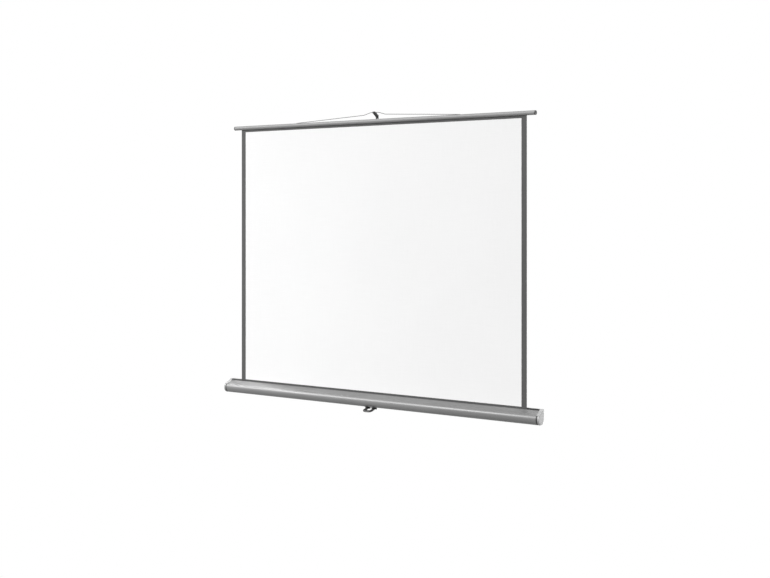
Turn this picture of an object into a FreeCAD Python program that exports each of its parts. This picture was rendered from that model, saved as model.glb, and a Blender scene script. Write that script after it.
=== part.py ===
import FreeCAD, Part
import math
import os

from FreeCAD import Vector

# Hanging projection screen with a spring roller, in millimetres.
# The origin is the wall hook's screw hole, on the wall. +X is to the right of someone facing the
# picture, -Y points at that person and +Z is up. The screen is drawn out fully.

# Picture and cloth
IMAGE_W = 1500.0
IMAGE_H = 1250.0
SIDE_BORDER = 25.0
TOP_BORDER_SHOWN = 11.0
BOTTOM_BORDER_SHOWN = 8.5
CLOTH_T = 0.4
COAT_T = 0.12
CLOTH_W = IMAGE_W + 2 * SIDE_BORDER

# Distances from the wall
WALL_TO_CLOTH = 42.0
CLOTH_TO_WIRE = 15.0
CLOTH_Y = -WALL_TO_CLOTH
WIRE_Y = CLOTH_Y + CLOTH_TO_WIRE

# Hanger wire, a bail with a raised hump for the hook
WIRE_D = 2.4
HUMP_Z = 28.0
HUMP_HALF = 22.0
KNEE_X = 58.0
KNEE_RISE = 22.0
SHOULDER_X = 450.0
SHOULDER_RISE = 1.5
PIN_END_X = 466.0
HUMP_BEND_R = 40.0
SHOULDER_BEND_R = 5.0
PIN_BEND_R = 4.0

# Top bar
BAR_D = 20.0
BAR_WALL = 1.4
BAR_LENGTH = 1624.0
BAR_SLOT_W = 2.4
HUMP_TO_BAR_TOP = 32.6
BAR_R = BAR_D / 2
BAR_TOP_Z = HUMP_Z - HUMP_TO_BAR_TOP
BAR_Z = BAR_TOP_Z - BAR_R
PLUG_HEAD = 6.0
PLUG_STEM = 14.0
PLUG_EDGE_R = 1.5
WELT_R = 3.4
WELT_KERF = 0.5
SNUG = 0.02
SLIP = 0.06

# Lugs that hold the wire's ends
STRAP_FROM_X = 453.0
STRAP_TO_X = 472.0
STRAP_T = 1.6
STRAP_FRONT = 5.0
LUG_FROM_X = 456.0
LUG_TO_X = 463.0
LUG_R = 3.6
RIVET_R = 1.4
RIVET_HEAD_R = 2.2
RIVET_HEAD_H = 0.9
RIVET_Z = 5.2
RIVET_X = 468.0

# Wall hook
HOOK_W = 14.0
HOOK_PLATE_T = 4.0
HOOK_PLATE_LOW = -8.0
HOOK_PLATE_HIGH = HUMP_Z - 9.0
HOOK_HOLE_R = 2.2
HOOK_SEAT_GAP = 0.3
HOOK_SEAT_HALF = 2.6
HOOK_TIP_RISE = 4.0
HOOK_TIP_T = 3.5
HOOK_SHOULDER_RISE = 1.0
HOOK_ARM_LOW = HUMP_Z - 20.0
HOOK_EDGE_R = 0.8
HOOK_TIP_R = 1.2
HOOK_TOP_R = 2.0
HOOK_ARM_R = 5.0

# Case section, measured from the cloth plane and from the top of the front lip
CASE_FRONT = -49.0
CASE_BACK = 8.0
CASE_LOW = -59.0
FACET_DROP = -17.5
LIP_FRONT = -5.0
BACK_RISE = 6.0
CASE_WALL = 1.6
FACET_EDGE_R = 20.5
CASE_BELLY_R = 27.0
CASE_HALF = 835.0
LIP_DEPTH = 8.0
PORT_R = 3.0
SCREW_R = 1.4
SCREW_PORTS = [(-41.2, -20.7), (-38.4, -48.4), (4.0, -14.0)]
PILE_GAP = 1.0

# Ends of the case
PLATE_T = 7.0
PLATE_INSET = 1.0
HOOD_GAP = 0.1
HOOD_LOW = -17.0
CAP_T = 8.0
CAP_TOP_FRONT = -2.5
CAP_TOP_R = 3.0
CAP_STEP = -6.5
CAP_EDGE_R = 2.0
SCREW_HEAD_R = 2.8
SCREW_HEAD_H = 1.8
SCREW_REACH = 12.0

# Roller, spring and lock
TUBE_R = 12.5
TUBE_WALL = 1.2
TUBE_HALF = 800.0
WRAP_T = 1.0
ROLL_GAP = 0.3
ROLLER_DROP = -30.0
STEM_LENGTH = 30.0
FLANGE_T = 6.0
CARRIER_R = 18.0
BUSH_R = 6.5
SPINDLE_R = 4.0
SPINDLE_END_X = -400.0
TANG_HALF_W = 2.5
TANG_HALF_H = 3.0
TANG_LENGTH = 9.0
COLLAR_R = 6.4
COLLAR_LENGTH = 12.0
COLLAR_GAP = 6.0
SPRING_R = 7.6
SPRING_WIRE_R = 0.9
SPRING_PITCH = 7.0
SPRING_TURNS = 24
GUDGEON_R = 3.0
GUDGEON_IN = 22.0
GUDGEON_BUSH_R = 5.0
GUDGEON_FLANGE_R = 7.0
GUDGEON_FLANGE_T = 3.0
RATCHET_R = 8.4
RATCHET_T = 5.0
RATCHET_GAP = 1.5
PAWL_T = 3.5
PAWL_PIVOT_R = 13.5
PAWL_EYE_R = 3.0
PAWL_NOSE_R = 1.4
PAWL_REACH = 10.66
PAWL_REST_DEG = 126.2
PAWL_TURN_DEG = 13.7
NOTCH_ROOM = 0.5
PAWL_PIN_R = 1.5

# Pull handle
HANDLE_Y = -16.0
HANDLE_Z = -65.2
HANDLE_TILT = 12.0
HANDLE_W = 50.0
HANDLE_REACH = 46.0
HANDLE_T = 6.5
HANDLE_BAR = 14.0
HANDLE_CORNER_R = 18.0
HANDLE_EYE_R = 3.8
HANDLE_PIN_R = 1.5
EAR_R = 4.2
EAR_T = 4.4
EAR_GAP = 0.5
BRACKET_HALF_D = 9.0
BRACKET_LOW = -60.4
BRACKET_HIGH = -54.0
BRACKET_FIT = 0.05
BRACKET_SCREW_X = 3.0

# Worked-out places
WHITE_TOP_Z = BAR_Z - BAR_R - TOP_BORDER_SHOWN
WHITE_LOW_Z = WHITE_TOP_Z - IMAGE_H
LIP_Z = WHITE_LOW_Z - BOTTOM_BORDER_SHOWN
ROLLER_Y = CLOTH_Y - CLOTH_T / 2 - COAT_T - ROLL_GAP - WRAP_T - TUBE_R
ROLLER_Z = LIP_Z + ROLLER_DROP
WELT_Z = BAR_Z - BAR_R + BAR_WALL + WELT_R
COAT_TOP_Z = WELT_Z - WELT_R - SNUG
PLATE_END = CASE_HALF + PLATE_T
CAP_END = PLATE_END + CAP_T
PIVOT = Vector(0, CLOTH_Y + HANDLE_Y, LIP_Z + HANDLE_Z)

X_AXIS = Vector(1, 0, 0)
Y_AXIS = Vector(0, 1, 0)


def box(x, y, z):
    """A block from three (low, high) pairs."""
    size = [high - low for low, high in (x, y, z)]
    return Part.makeBox(*size, Vector(x[0], y[0], z[0]))


def rod(radius, x_from, x_to, y, z):
    """A round bar along X."""
    return Part.makeCylinder(radius, x_to - x_from, Vector(x_from, y, z), X_AXIS)


def sleeve(outer, inner, x_from, x_to, y, z):
    """A tube along X."""
    return rod(outer, x_from, x_to, y, z).cut(rod(inner, x_from, x_to, y, z))


def bend(before, corner, after, radius):
    """The start, middle and end of the arc that rounds a corner."""
    back = (before - corner).normalize()
    ahead = (after - corner).normalize()
    half = back.getAngle(ahead) / 2
    run = radius / math.tan(half)
    middle = (back + ahead).normalize() * (radius / math.sin(half) - radius)
    return corner + back * run, corner + middle, corner + ahead * run


def joined(starts_and_ends, arcs):
    """Straight runs between the arcs, with the arcs, as one wire."""
    edges = []
    for (run_from, run_to), arc in zip(starts_and_ends, arcs):
        if (run_to - run_from).Length > 1e-6:
            edges.append(Part.LineSegment(run_from, run_to).toShape())
        if arc:
            edges.append(Part.Arc(*arc).toShape())
    return Part.Wire(edges)


def outline(corners):
    """A closed wire through (corner, radius) pairs, with rounded corners."""
    points = [point for point, _ in corners]
    arcs = []
    for i, (point, radius) in enumerate(corners):
        after = points[(i + 1) % len(points)]
        arcs.append(bend(points[i - 1], point, after, radius) if radius else None)
    runs = []
    for i, point in enumerate(points):
        run_from = arcs[i - 1][2] if arcs[i - 1] else points[i - 1]
        run_to = arcs[i][0] if arcs[i] else point
        runs.append((run_from, run_to))
    return joined(runs, arcs)


def bent_path(points, radii):
    """An open wire through the points, with an arc at each inner one."""
    arcs = [bend(*points[i:i + 3], radius) for i, radius in enumerate(radii)]
    starts = [points[0]] + [arc[2] for arc in arcs]
    ends = [arc[0] for arc in arcs] + [points[-1]]
    return joined(list(zip(starts, ends)), arcs + [None])


def prism(wire, x_from, x_to):
    """A wire in the YZ plane, filled and carried along X."""
    face = Part.Face(wire)
    face.translate(Vector(x_from, 0, 0))
    return face.extrude(Vector(x_to - x_from, 0, 0))


def fused(shapes):
    """One shape from several, with shared seams removed."""
    return shapes[0].multiFuse(shapes[1:]).removeSplitter()


def mirrored(shape):
    """The same shape on the other side of the middle."""
    return shape.mirror(Vector(0, 0, 0), X_AXIS)


def save(name, shape):
    """Write one node's solids."""
    shape.exportStep("parts/" + name + ".step")


def save_pair(name, shape):
    """Write a right-hand node and its mirror image."""
    save(name + "_right", shape)
    save(name + "_left", mirrored(shape))


def in_case(y, z):
    """A point of the case's section, from the cloth plane and the lip."""
    return Vector(0, CLOTH_Y + y, LIP_Z + z)


def link(centre_a, radius_a, centre_b, radius_b):
    """A wire round two circles in the YZ plane, with straight sides."""
    along = centre_b - centre_a
    lean = math.acos((radius_a - radius_b) / along.Length)
    heading = math.atan2(along.z, along.y)

    def on(centre, radius, angle):
        return centre + Vector(0, math.cos(angle), math.sin(angle)) * radius

    left, right = heading + lean, heading - lean
    a_left, a_right = on(centre_a, radius_a, left), on(centre_a, radius_a, right)
    b_left, b_right = on(centre_b, radius_b, left), on(centre_b, radius_b, right)
    a_back = on(centre_a, radius_a, heading + math.pi)
    b_tip = on(centre_b, radius_b, heading)
    return Part.Wire([
        Part.Arc(a_left, a_back, a_right).toShape(),
        Part.LineSegment(a_right, b_right).toShape(),
        Part.Arc(b_right, b_tip, b_left).toShape(),
        Part.LineSegment(b_left, a_left).toShape(),
    ])


def wall_hook():
    """Hook with a wall plate, one screw hole and a groove that the wire lies in."""
    seat_z = HUMP_Z - WIRE_D / 2 - HOOK_SEAT_GAP
    seat_back = WIRE_Y + HOOK_SEAT_HALF
    seat_front = WIRE_Y - HOOK_SEAT_HALF
    tip_back = seat_front - HOOK_SEAT_HALF / 2
    tip_front = tip_back - HOOK_TIP_T
    tip_z = HUMP_Z + HOOK_TIP_RISE
    arm_root_y = -2 * HOOK_PLATE_T
    corners = [
        ((0, HOOK_PLATE_LOW), HOOK_EDGE_R),
        ((0, HOOK_PLATE_HIGH), HOOK_TOP_R),
        ((arm_root_y, HOOK_PLATE_HIGH), HOOK_ARM_R),
        ((seat_back + HOOK_SEAT_HALF, HUMP_Z + HOOK_SHOULDER_RISE), HOOK_TIP_R),
        ((seat_back, seat_z), HOOK_EDGE_R),
        ((seat_front, seat_z), HOOK_EDGE_R),
        ((tip_back, tip_z), HOOK_TIP_R),
        ((tip_front, tip_z), HOOK_TIP_R),
        ((tip_front, seat_z - HOOK_SEAT_HALF), HOOK_ARM_R),
        ((WIRE_Y, seat_z - 2 * HOOK_SEAT_HALF), HOOK_ARM_R),
        ((-HOOK_PLATE_T, HOOK_ARM_LOW), HOOK_ARM_R),
        ((-HOOK_PLATE_T, HOOK_PLATE_LOW), HOOK_EDGE_R),
    ]
    side = outline([(Vector(0, y, z), radius) for (y, z), radius in corners])
    body = prism(side, -HOOK_W / 2, HOOK_W / 2)
    hole = Part.makeCylinder(HOOK_HOLE_R, 3 * HOOK_PLATE_T, Vector(0, -2 * HOOK_PLATE_T, 0), Y_AXIS)
    return body.cut(hole)


def hanger_wire():
    """Spring-steel bail: hump, long slopes, and pins that turn in the lugs."""
    half = [
        (HUMP_HALF, HUMP_Z, HUMP_BEND_R),
        (KNEE_X, BAR_TOP_Z + KNEE_RISE, HUMP_BEND_R),
        (SHOULDER_X, BAR_TOP_Z + SHOULDER_RISE, SHOULDER_BEND_R),
        (SHOULDER_X, BAR_Z, PIN_BEND_R),
        (PIN_END_X, BAR_Z, None),
    ]
    left = [Vector(-x, WIRE_Y, z) for x, z, _ in reversed(half)]
    right = [Vector(x, WIRE_Y, z) for x, z, _ in half]
    radii = [radius for _, _, radius in half[:-1]]
    path = bent_path(left + right, radii[::-1] + radii)
    ring = Part.Circle(left[0], X_AXIS, WIRE_D / 2).toShape()
    return path.makePipeShell([Part.Wire(ring)], True, False)


def bail_bracket():
    """Strap round the back of the bar with a lug for the wire's pin."""
    inner = BAR_R + SNUG
    strap = sleeve(inner + STRAP_T, inner, STRAP_FROM_X, STRAP_TO_X, CLOTH_Y, BAR_Z)
    keep = box((STRAP_FROM_X, STRAP_TO_X), (CLOTH_Y + STRAP_FRONT, WIRE_Y), (BAR_Z - BAR_D, BAR_Z + BAR_D))
    lug_end = rod(LUG_R, LUG_FROM_X, LUG_TO_X, WIRE_Y, BAR_Z)
    lug_web = box((LUG_FROM_X, LUG_TO_X), (CLOTH_Y, WIRE_Y), (BAR_Z - LUG_R, BAR_Z + LUG_R))
    lug_web = lug_web.cut(rod(inner, LUG_FROM_X, LUG_TO_X, CLOTH_Y, BAR_Z))
    body = fused([strap.common(keep), lug_end, lug_web])
    bracket = body.cut(rod(WIRE_D / 2 + SLIP, LUG_FROM_X, LUG_TO_X, WIRE_Y, BAR_Z))
    for z in (BAR_Z - RIVET_Z, BAR_Z + RIVET_Z):
        bracket = bracket.cut(rivet_shank(RIVET_X, z, RIVET_R + SNUG))
    return bracket


def rivet_shank(x, z, radius):
    """Shank of one rivet, from inside the bar's wall to the strap's back."""
    start = Vector(x, CLOTH_Y + BAR_R - 2 * BAR_WALL, z)
    return Part.makeCylinder(radius, strap_back_y(z) - start.y, start, Y_AXIS)


def strap_back_y(z):
    """Where the strap's outer face stands at one height."""
    return CLOTH_Y + math.sqrt((BAR_R + SNUG + STRAP_T) ** 2 - (z - BAR_Z) ** 2) + RIVET_HEAD_H


def bail_rivets():
    """Two rivets through each strap into the bar."""
    rivets = []
    for x in (-RIVET_X, RIVET_X):
        for z in (BAR_Z - RIVET_Z, BAR_Z + RIVET_Z):
            head_at = Vector(x, strap_back_y(z), z)
            head = Part.makeCylinder(RIVET_HEAD_R, RIVET_HEAD_H, head_at, Y_AXIS)
            rivets.append(fused([rivet_shank(x, z, RIVET_R), head]))
    return Part.makeCompound(rivets)


def top_bar():
    """Round tube with a slot along its underside for the cloth and holes for the rivets."""
    half = BAR_LENGTH / 2
    bar = sleeve(BAR_R, BAR_R - BAR_WALL, -half, half, CLOTH_Y, BAR_Z)
    slot_y = (CLOTH_Y - BAR_SLOT_W / 2, CLOTH_Y + BAR_SLOT_W / 2)
    bar = bar.cut(box((-half, half), slot_y, (BAR_Z - BAR_D, BAR_Z - BAR_R / 2)))
    for x in (-RIVET_X, RIVET_X):
        for z in (BAR_Z - RIVET_Z, BAR_Z + RIVET_Z):
            bar = bar.cut(rivet_shank(x, z, RIVET_R + SNUG))
    return bar


def bar_plug():
    """End plug of the bar: a flush head and a stem."""
    end = BAR_LENGTH / 2
    head = rod(BAR_R, end, end + PLUG_HEAD, CLOTH_Y, BAR_Z)
    head = head.makeFillet(PLUG_EDGE_R, [head.Edges[0]])
    stem = rod(BAR_R - BAR_WALL - SNUG, end - PLUG_STEM, end, CLOTH_Y, BAR_Z)
    return fused([head, stem])


def fabric_welt():
    """Rod with a kerf that grips the cloth's top edge inside the bar."""
    half = CLOTH_W / 2
    kerf = box((-half, half), (CLOTH_Y - WELT_KERF / 2, CLOTH_Y + WELT_KERF / 2), (WELT_Z - WELT_R, WELT_Z))
    return rod(WELT_R - SNUG, -half, half, CLOTH_Y, WELT_Z).cut(kerf)


def screen_fabric():
    """Projection cloth from the welt down to the back of the roller."""
    half = CLOTH_W / 2
    return box((-half, half), (CLOTH_Y - CLOTH_T / 2, CLOTH_Y + CLOTH_T / 2), (ROLLER_Z, WELT_Z - SNUG))


def border_coat():
    """Black coat on the front of the cloth, round the picture."""
    half = CLOTH_W / 2
    depth = (CLOTH_Y - CLOTH_T / 2 - COAT_T, CLOTH_Y - CLOTH_T / 2)
    sheet = box((-half, half), depth, (ROLLER_Z, COAT_TOP_Z))
    return sheet.cut(box((-IMAGE_W / 2, IMAGE_W / 2), depth, (WHITE_LOW_Z, WHITE_TOP_Z)))


def case_hull(grow=0.0):
    """Closed outline of the case below the lip, moved outwards by grow."""
    hull = outline([
        (in_case(LIP_FRONT, 0), 0),
        (in_case(CASE_FRONT, FACET_DROP), FACET_EDGE_R),
        (in_case(CASE_FRONT, CASE_LOW), CASE_BELLY_R),
        (in_case(CASE_BACK, CASE_LOW), CASE_BELLY_R),
        (in_case(CASE_BACK, 0), 0),
    ])
    if not grow:
        return hull
    return Part.Face(hull).makeOffset2D(grow, join=2).OuterWire


def case_block(y, z):
    """A block of the case's section along its whole length."""
    low, high = in_case(y[0], z[0]), in_case(y[1], z[1])
    return box((-CASE_HALF, CASE_HALF), (low.y, high.y), (low.z, high.z))


def case_extrusion():
    """Hollow roller case with a slot at the back of its top and three screw ports."""
    inner_back = CASE_BACK - CASE_WALL
    walls = prism(case_hull(), -CASE_HALF, CASE_HALF).cut(prism(case_hull(-CASE_WALL), -CASE_HALF, CASE_HALF))
    walls = walls.cut(case_block((LIP_FRONT, inner_back), (-2 * CASE_WALL, CASE_WALL)))
    lip = case_block((LIP_FRONT - CASE_WALL, LIP_FRONT), (-LIP_DEPTH, -CASE_WALL / 2))
    back = case_block((inner_back, CASE_BACK), (-CASE_WALL, BACK_RISE))
    ports = []
    holes = []
    for y, z in SCREW_PORTS:
        at = in_case(y, z)
        ports.append(rod(PORT_R, -CASE_HALF, CASE_HALF, at.y, at.z))
        holes.append(rod(SCREW_R + SNUG, -CASE_HALF, CASE_HALF, at.y, at.z))
    body = fused([walls, lip, back] + ports)
    for hole in holes + handle_screw_shanks(SCREW_R + SNUG):
        body = body.cut(hole)
    return body


def slot_pile_front():
    """Pile lining behind the front lip."""
    return case_block((LIP_FRONT, -PILE_GAP), (-LIP_DEPTH + CASE_WALL, -CASE_WALL / 2))


def slot_pile_back():
    """Pile lining on the front of the raised back wall."""
    return case_block((PILE_GAP, CASE_BACK - CASE_WALL), (2 * PILE_GAP, BACK_RISE - PILE_GAP))


def cap_outline(grow=0.0):
    """Closed outline of the case's ends, with the raised back."""
    step_z = FACET_DROP * (CAP_STEP - LIP_FRONT) / (CASE_FRONT - LIP_FRONT)
    shape = outline([
        (in_case(CASE_FRONT, FACET_DROP), FACET_EDGE_R),
        (in_case(CASE_FRONT, CASE_LOW), CASE_BELLY_R),
        (in_case(CASE_BACK, CASE_LOW), CASE_BELLY_R),
        (in_case(CASE_BACK, BACK_RISE), CAP_TOP_R),
        (in_case(CAP_TOP_FRONT, BACK_RISE), CAP_TOP_R),
        (in_case(CAP_STEP, step_z), CAP_TOP_R),
    ])
    if not grow:
        return shape
    return Part.Face(shape).makeOffset2D(grow).OuterWire


def port_rods(radius, x_from, x_to):
    """Round bars on the axes of the screw ports."""
    places = [in_case(y, z) for y, z in SCREW_PORTS]
    return [rod(radius, x_from, x_to, at.y, at.z) for at in places]


def end_plate_blank():
    """Dark plate that closes the extrusion's right end, with clearance for the screws."""
    plate = prism(cap_outline(-PLATE_INSET), CASE_HALF, PLATE_END)
    for hole in port_rods(SCREW_R + SLIP, CASE_HALF, PLATE_END):
        plate = plate.cut(hole)
    return plate


def tang(x_from, x_to, room):
    """Flat end of the spindle, which the left plate keeps from turning."""
    y = (ROLLER_Y - TANG_HALF_W - room, ROLLER_Y + TANG_HALF_W + room)
    z = (ROLLER_Z - TANG_HALF_H - room, ROLLER_Z + TANG_HALF_H + room)
    return box((x_from, x_to), y, z)


def end_cap():
    """Moulded cap over the plate, with a hood over the plate's upper edge."""
    cap = prism(cap_outline(), PLATE_END, CAP_END)
    outer = [edge for edge in cap.Edges if min(v.X for v in edge.Vertexes) > CAP_END - 0.01]
    cap = cap.makeFillet(CAP_EDGE_R, outer)
    hood = prism(cap_outline(), CASE_HALF, PLATE_END)
    hood = hood.cut(prism(cap_outline(-PLATE_INSET + HOOD_GAP), CASE_HALF, PLATE_END))
    hood = hood.cut(case_block_wide(HOOD_LOW))
    cap = fused([cap, hood])
    for hole in port_rods(SCREW_R + SLIP, PLATE_END, CAP_END):
        cap = cap.cut(hole)
    for recess in port_rods(SCREW_HEAD_R + SLIP, CAP_END - SCREW_HEAD_H, CAP_END):
        cap = cap.cut(recess)
    return cap


def case_block_wide(high):
    """Everything round the case's end below one height."""
    low_at, high_at = in_case(2 * CASE_FRONT, 2 * CASE_LOW), in_case(-2 * CASE_FRONT, high)
    return box((0, CAP_END), (low_at.y, high_at.y), (low_at.z, high_at.z))


def end_cap_screws():
    """Three screws at each end, through cap and plate into the ports."""
    screws = []
    head_from = CAP_END - SCREW_HEAD_H
    shanks = port_rods(SCREW_R, CASE_HALF - SCREW_REACH, head_from)
    heads = port_rods(SCREW_HEAD_R, head_from, CAP_END)
    for shank, head in zip(shanks, heads):
        screw = fused([shank, head])
        screws += [screw, mirrored(screw)]
    return Part.makeCompound(screws)


def roller_tube():
    """Steel tube that the cloth winds on."""
    return sleeve(TUBE_R, TUBE_R - TUBE_WALL, -TUBE_HALF, TUBE_HALF, ROLLER_Y, ROLLER_Z)


def fabric_wraps():
    """Turns of cloth that stay on the roller."""
    half = CLOTH_W / 2
    return sleeve(TUBE_R + WRAP_T, TUBE_R + SNUG, -half, half, ROLLER_Y, ROLLER_Z)


def roller_end(flange_r, bore_r):
    """Flange and stem that close the roller's left end, with a bore."""
    flange = rod(flange_r, -TUBE_HALF - FLANGE_T, -TUBE_HALF, ROLLER_Y, ROLLER_Z)
    stem = rod(TUBE_R - TUBE_WALL - SNUG, -TUBE_HALF, -TUBE_HALF + STEM_LENGTH, ROLLER_Y, ROLLER_Z)
    bore = rod(bore_r, -TUBE_HALF - FLANGE_T, -TUBE_HALF + STEM_LENGTH, ROLLER_Y, ROLLER_Z)
    return fused([flange, stem]).cut(bore)


def pawl_carrier():
    """Left end of the roller, whose disc carries the two pawls."""
    carrier = roller_end(CARRIER_R, BUSH_R + SNUG)
    for pin in pawl_pins().Solids:
        carrier = carrier.cut(pin)
    return carrier


def idle_plug():
    """Right end of the roller, which holds the gudgeon pin."""
    return mirrored(roller_end(TUBE_R, GUDGEON_R + SNUG))


def spindle_bush():
    """Bearing of the pawl carrier on the fixed spindle."""
    x_from = -TUBE_HALF - FLANGE_T
    return sleeve(BUSH_R, SPINDLE_R + SLIP, x_from, -TUBE_HALF + STEM_LENGTH, ROLLER_Y, ROLLER_Z)


def spindle_end_bush():
    """Disc inside the tube that runs on the spindle's far end."""
    x_from = SPINDLE_END_X - COLLAR_LENGTH
    return sleeve(TUBE_R - TUBE_WALL - SNUG, SPINDLE_R + SLIP, x_from, SPINDLE_END_X, ROLLER_Y, ROLLER_Z)


def spring_spindle():
    """Fixed rod through the spring, flat where the left plate holds it."""
    shaft = rod(SPINDLE_R, -PLATE_END + TANG_LENGTH, SPINDLE_END_X, ROLLER_Y, ROLLER_Z)
    return fused([shaft, tang(-PLATE_END, -PLATE_END + TANG_LENGTH + SNUG, 0)])


def spindle_collar():
    """Collar on the spindle that holds the spring's fixed end."""
    x_to = SPINDLE_END_X - COLLAR_LENGTH - COLLAR_GAP
    return sleeve(COLLAR_R, SPINDLE_R + SNUG, x_to - COLLAR_LENGTH, x_to, ROLLER_Y, ROLLER_Z)


def power_spring():
    """Torsion spring round the spindle, as a coil of quarter-turn arcs."""
    length = SPRING_TURNS * SPRING_PITCH
    start_x = SPINDLE_END_X - 2 * (COLLAR_LENGTH + COLLAR_GAP) - length

    def on_coil(eighths):
        angle = eighths * math.pi / 4
        x = start_x + SPRING_PITCH * eighths / 8
        return Vector(x, ROLLER_Y + SPRING_R * math.cos(angle), ROLLER_Z + SPRING_R * math.sin(angle))

    arcs = []
    for quarter in range(4 * SPRING_TURNS):
        first = 2 * quarter
        arcs.append(Part.Arc(on_coil(first), on_coil(first + 1), on_coil(first + 2)).toShape())
    path = Part.Wire(arcs)
    heading = arcs[0].tangentAt(arcs[0].FirstParameter)
    ring = Part.Circle(on_coil(0), heading, SPRING_WIRE_R).toShape()
    return path.makePipeShell([Part.Wire(ring)], True, False)


def gudgeon_pin():
    """Pin on which the roller's right end turns."""
    return rod(GUDGEON_R, TUBE_HALF - GUDGEON_IN, PLATE_END - 2 * PILE_GAP, ROLLER_Y, ROLLER_Z)


def gudgeon_bush():
    """Flanged bearing of the pin in the right plate."""
    bore = GUDGEON_R + SLIP
    barrel = sleeve(GUDGEON_BUSH_R, bore, CASE_HALF, PLATE_END, ROLLER_Y, ROLLER_Z)
    flange = sleeve(GUDGEON_FLANGE_R, bore, CASE_HALF - GUDGEON_FLANGE_T, CASE_HALF, ROLLER_Y, ROLLER_Z)
    return fused([barrel, flange])


def pawl_link(grow, turn_deg):
    """Outline of a pawl that points at the ratchet from +Y, turned about its pivot."""
    centre = Vector(0, ROLLER_Y, ROLLER_Z)
    pivot = centre + Vector(0, PAWL_PIVOT_R, 0)
    angle = math.radians(PAWL_REST_DEG + turn_deg)
    nose = pivot + Vector(0, math.cos(angle), math.sin(angle)) * PAWL_REACH
    return link(pivot, PAWL_EYE_R + grow, nose, PAWL_NOSE_R + grow)


def about_roller(shape, degrees):
    """A shape turned about the roller's axis."""
    turned = shape.copy()
    turned.rotate(Vector(0, ROLLER_Y, ROLLER_Z), X_AXIS, degrees)
    return turned


PAWL_PLACES = {"pawl_upper": 90.0, "pawl_lower": 270.0}
RATCHET_X = -TUBE_HALF - FLANGE_T - RATCHET_GAP
PAWL_X = RATCHET_X - (RATCHET_T - PAWL_T) / 2


def ratchet_wheel():
    """Notched wheel on the spindle, cut to take the pawls."""
    wheel = sleeve(RATCHET_R, SPINDLE_R + SNUG, RATCHET_X - RATCHET_T, RATCHET_X, ROLLER_Y, ROLLER_Z)
    notch = prism(pawl_link(NOTCH_ROOM, PAWL_TURN_DEG), RATCHET_X - RATCHET_T, RATCHET_X)
    for degrees in PAWL_PLACES.values():
        wheel = wheel.cut(about_roller(notch, degrees))
    return wheel


def pawl(degrees):
    """Swinging lever that drops into the ratchet, held clear of it."""
    lever = prism(pawl_link(0, 0), PAWL_X - PAWL_T, PAWL_X)
    eye = rod(PAWL_PIN_R + SLIP, PAWL_X - PAWL_T, PAWL_X, ROLLER_Y + PAWL_PIVOT_R, ROLLER_Z)
    return about_roller(lever.cut(eye), degrees)


def pawl_pins():
    """Pins in the carrier's disc, with heads that keep the pawls on."""
    y = ROLLER_Y + PAWL_PIVOT_R
    head_x = PAWL_X - PAWL_T - ROLL_GAP
    shank = rod(PAWL_PIN_R, head_x, -TUBE_HALF - FLANGE_T / 2, y, ROLLER_Z)
    head = rod(PAWL_EYE_R - WRAP_T / 2, head_x - WRAP_T, head_x, y, ROLLER_Z)
    pin = fused([shank, head])
    return Part.makeCompound([about_roller(pin, degrees) for degrees in PAWL_PLACES.values()])


def leg_span():
    """Inner and outer X of the handle's right leg."""
    return HANDLE_W / 2 - HANDLE_BAR, HANDLE_W / 2


def handle_bracket():
    """Saddle under the case with two ears for each leg of the handle."""
    inner, outer = leg_span()
    half = outer + EAR_GAP + EAR_T
    y = (PIVOT.y - BRACKET_HALF_D, PIVOT.y + BRACKET_HALF_D)
    pieces = [box((-half, half), y, (LIP_Z + BRACKET_LOW, LIP_Z + BRACKET_HIGH))]
    for x in (inner - EAR_GAP - EAR_T, outer + EAR_GAP):
        ear = rod(EAR_R, x, x + EAR_T, PIVOT.y, PIVOT.z)
        web = box((x, x + EAR_T), (PIVOT.y - EAR_R, PIVOT.y + EAR_R), (PIVOT.z, LIP_Z + BRACKET_LOW))
        pieces += [ear, web, mirrored(ear), mirrored(web)]
    bracket = fused(pieces).cut(prism(case_hull(BRACKET_FIT), -half, half))
    bracket = bracket.cut(rod(HANDLE_PIN_R + SNUG, -half, half, PIVOT.y, PIVOT.z))
    for hole in handle_screw_shanks(SCREW_R + SNUG):
        bracket = bracket.cut(hole)
    return bracket


def handle_screw_shanks(radius):
    """Shanks of the bracket's screws, up through the case's floor."""
    low = LIP_Z + BRACKET_LOW
    places = [Vector(x, PIVOT.y, low) for x in (-BRACKET_SCREW_X, BRACKET_SCREW_X)]
    return [Part.makeCylinder(radius, SCREW_REACH / 2, at) for at in places]


def handle_screws():
    """Two pan-head screws that hold the bracket."""
    screws = []
    for shank, x in zip(handle_screw_shanks(SCREW_R), (-BRACKET_SCREW_X, BRACKET_SCREW_X)):
        head_at = Vector(x, PIVOT.y, LIP_Z + BRACKET_LOW - SCREW_HEAD_H)
        screws.append(fused([Part.makeCylinder(SCREW_HEAD_R, SCREW_HEAD_H, head_at), shank]))
    return Part.makeCompound(screws)


def handle_pin():
    """Hinge pin through the ears and the handle's eyes."""
    half = leg_span()[1] + EAR_GAP + EAR_T + PILE_GAP
    return rod(HANDLE_PIN_R, -half, half, PIVOT.y, PIVOT.z)


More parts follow.
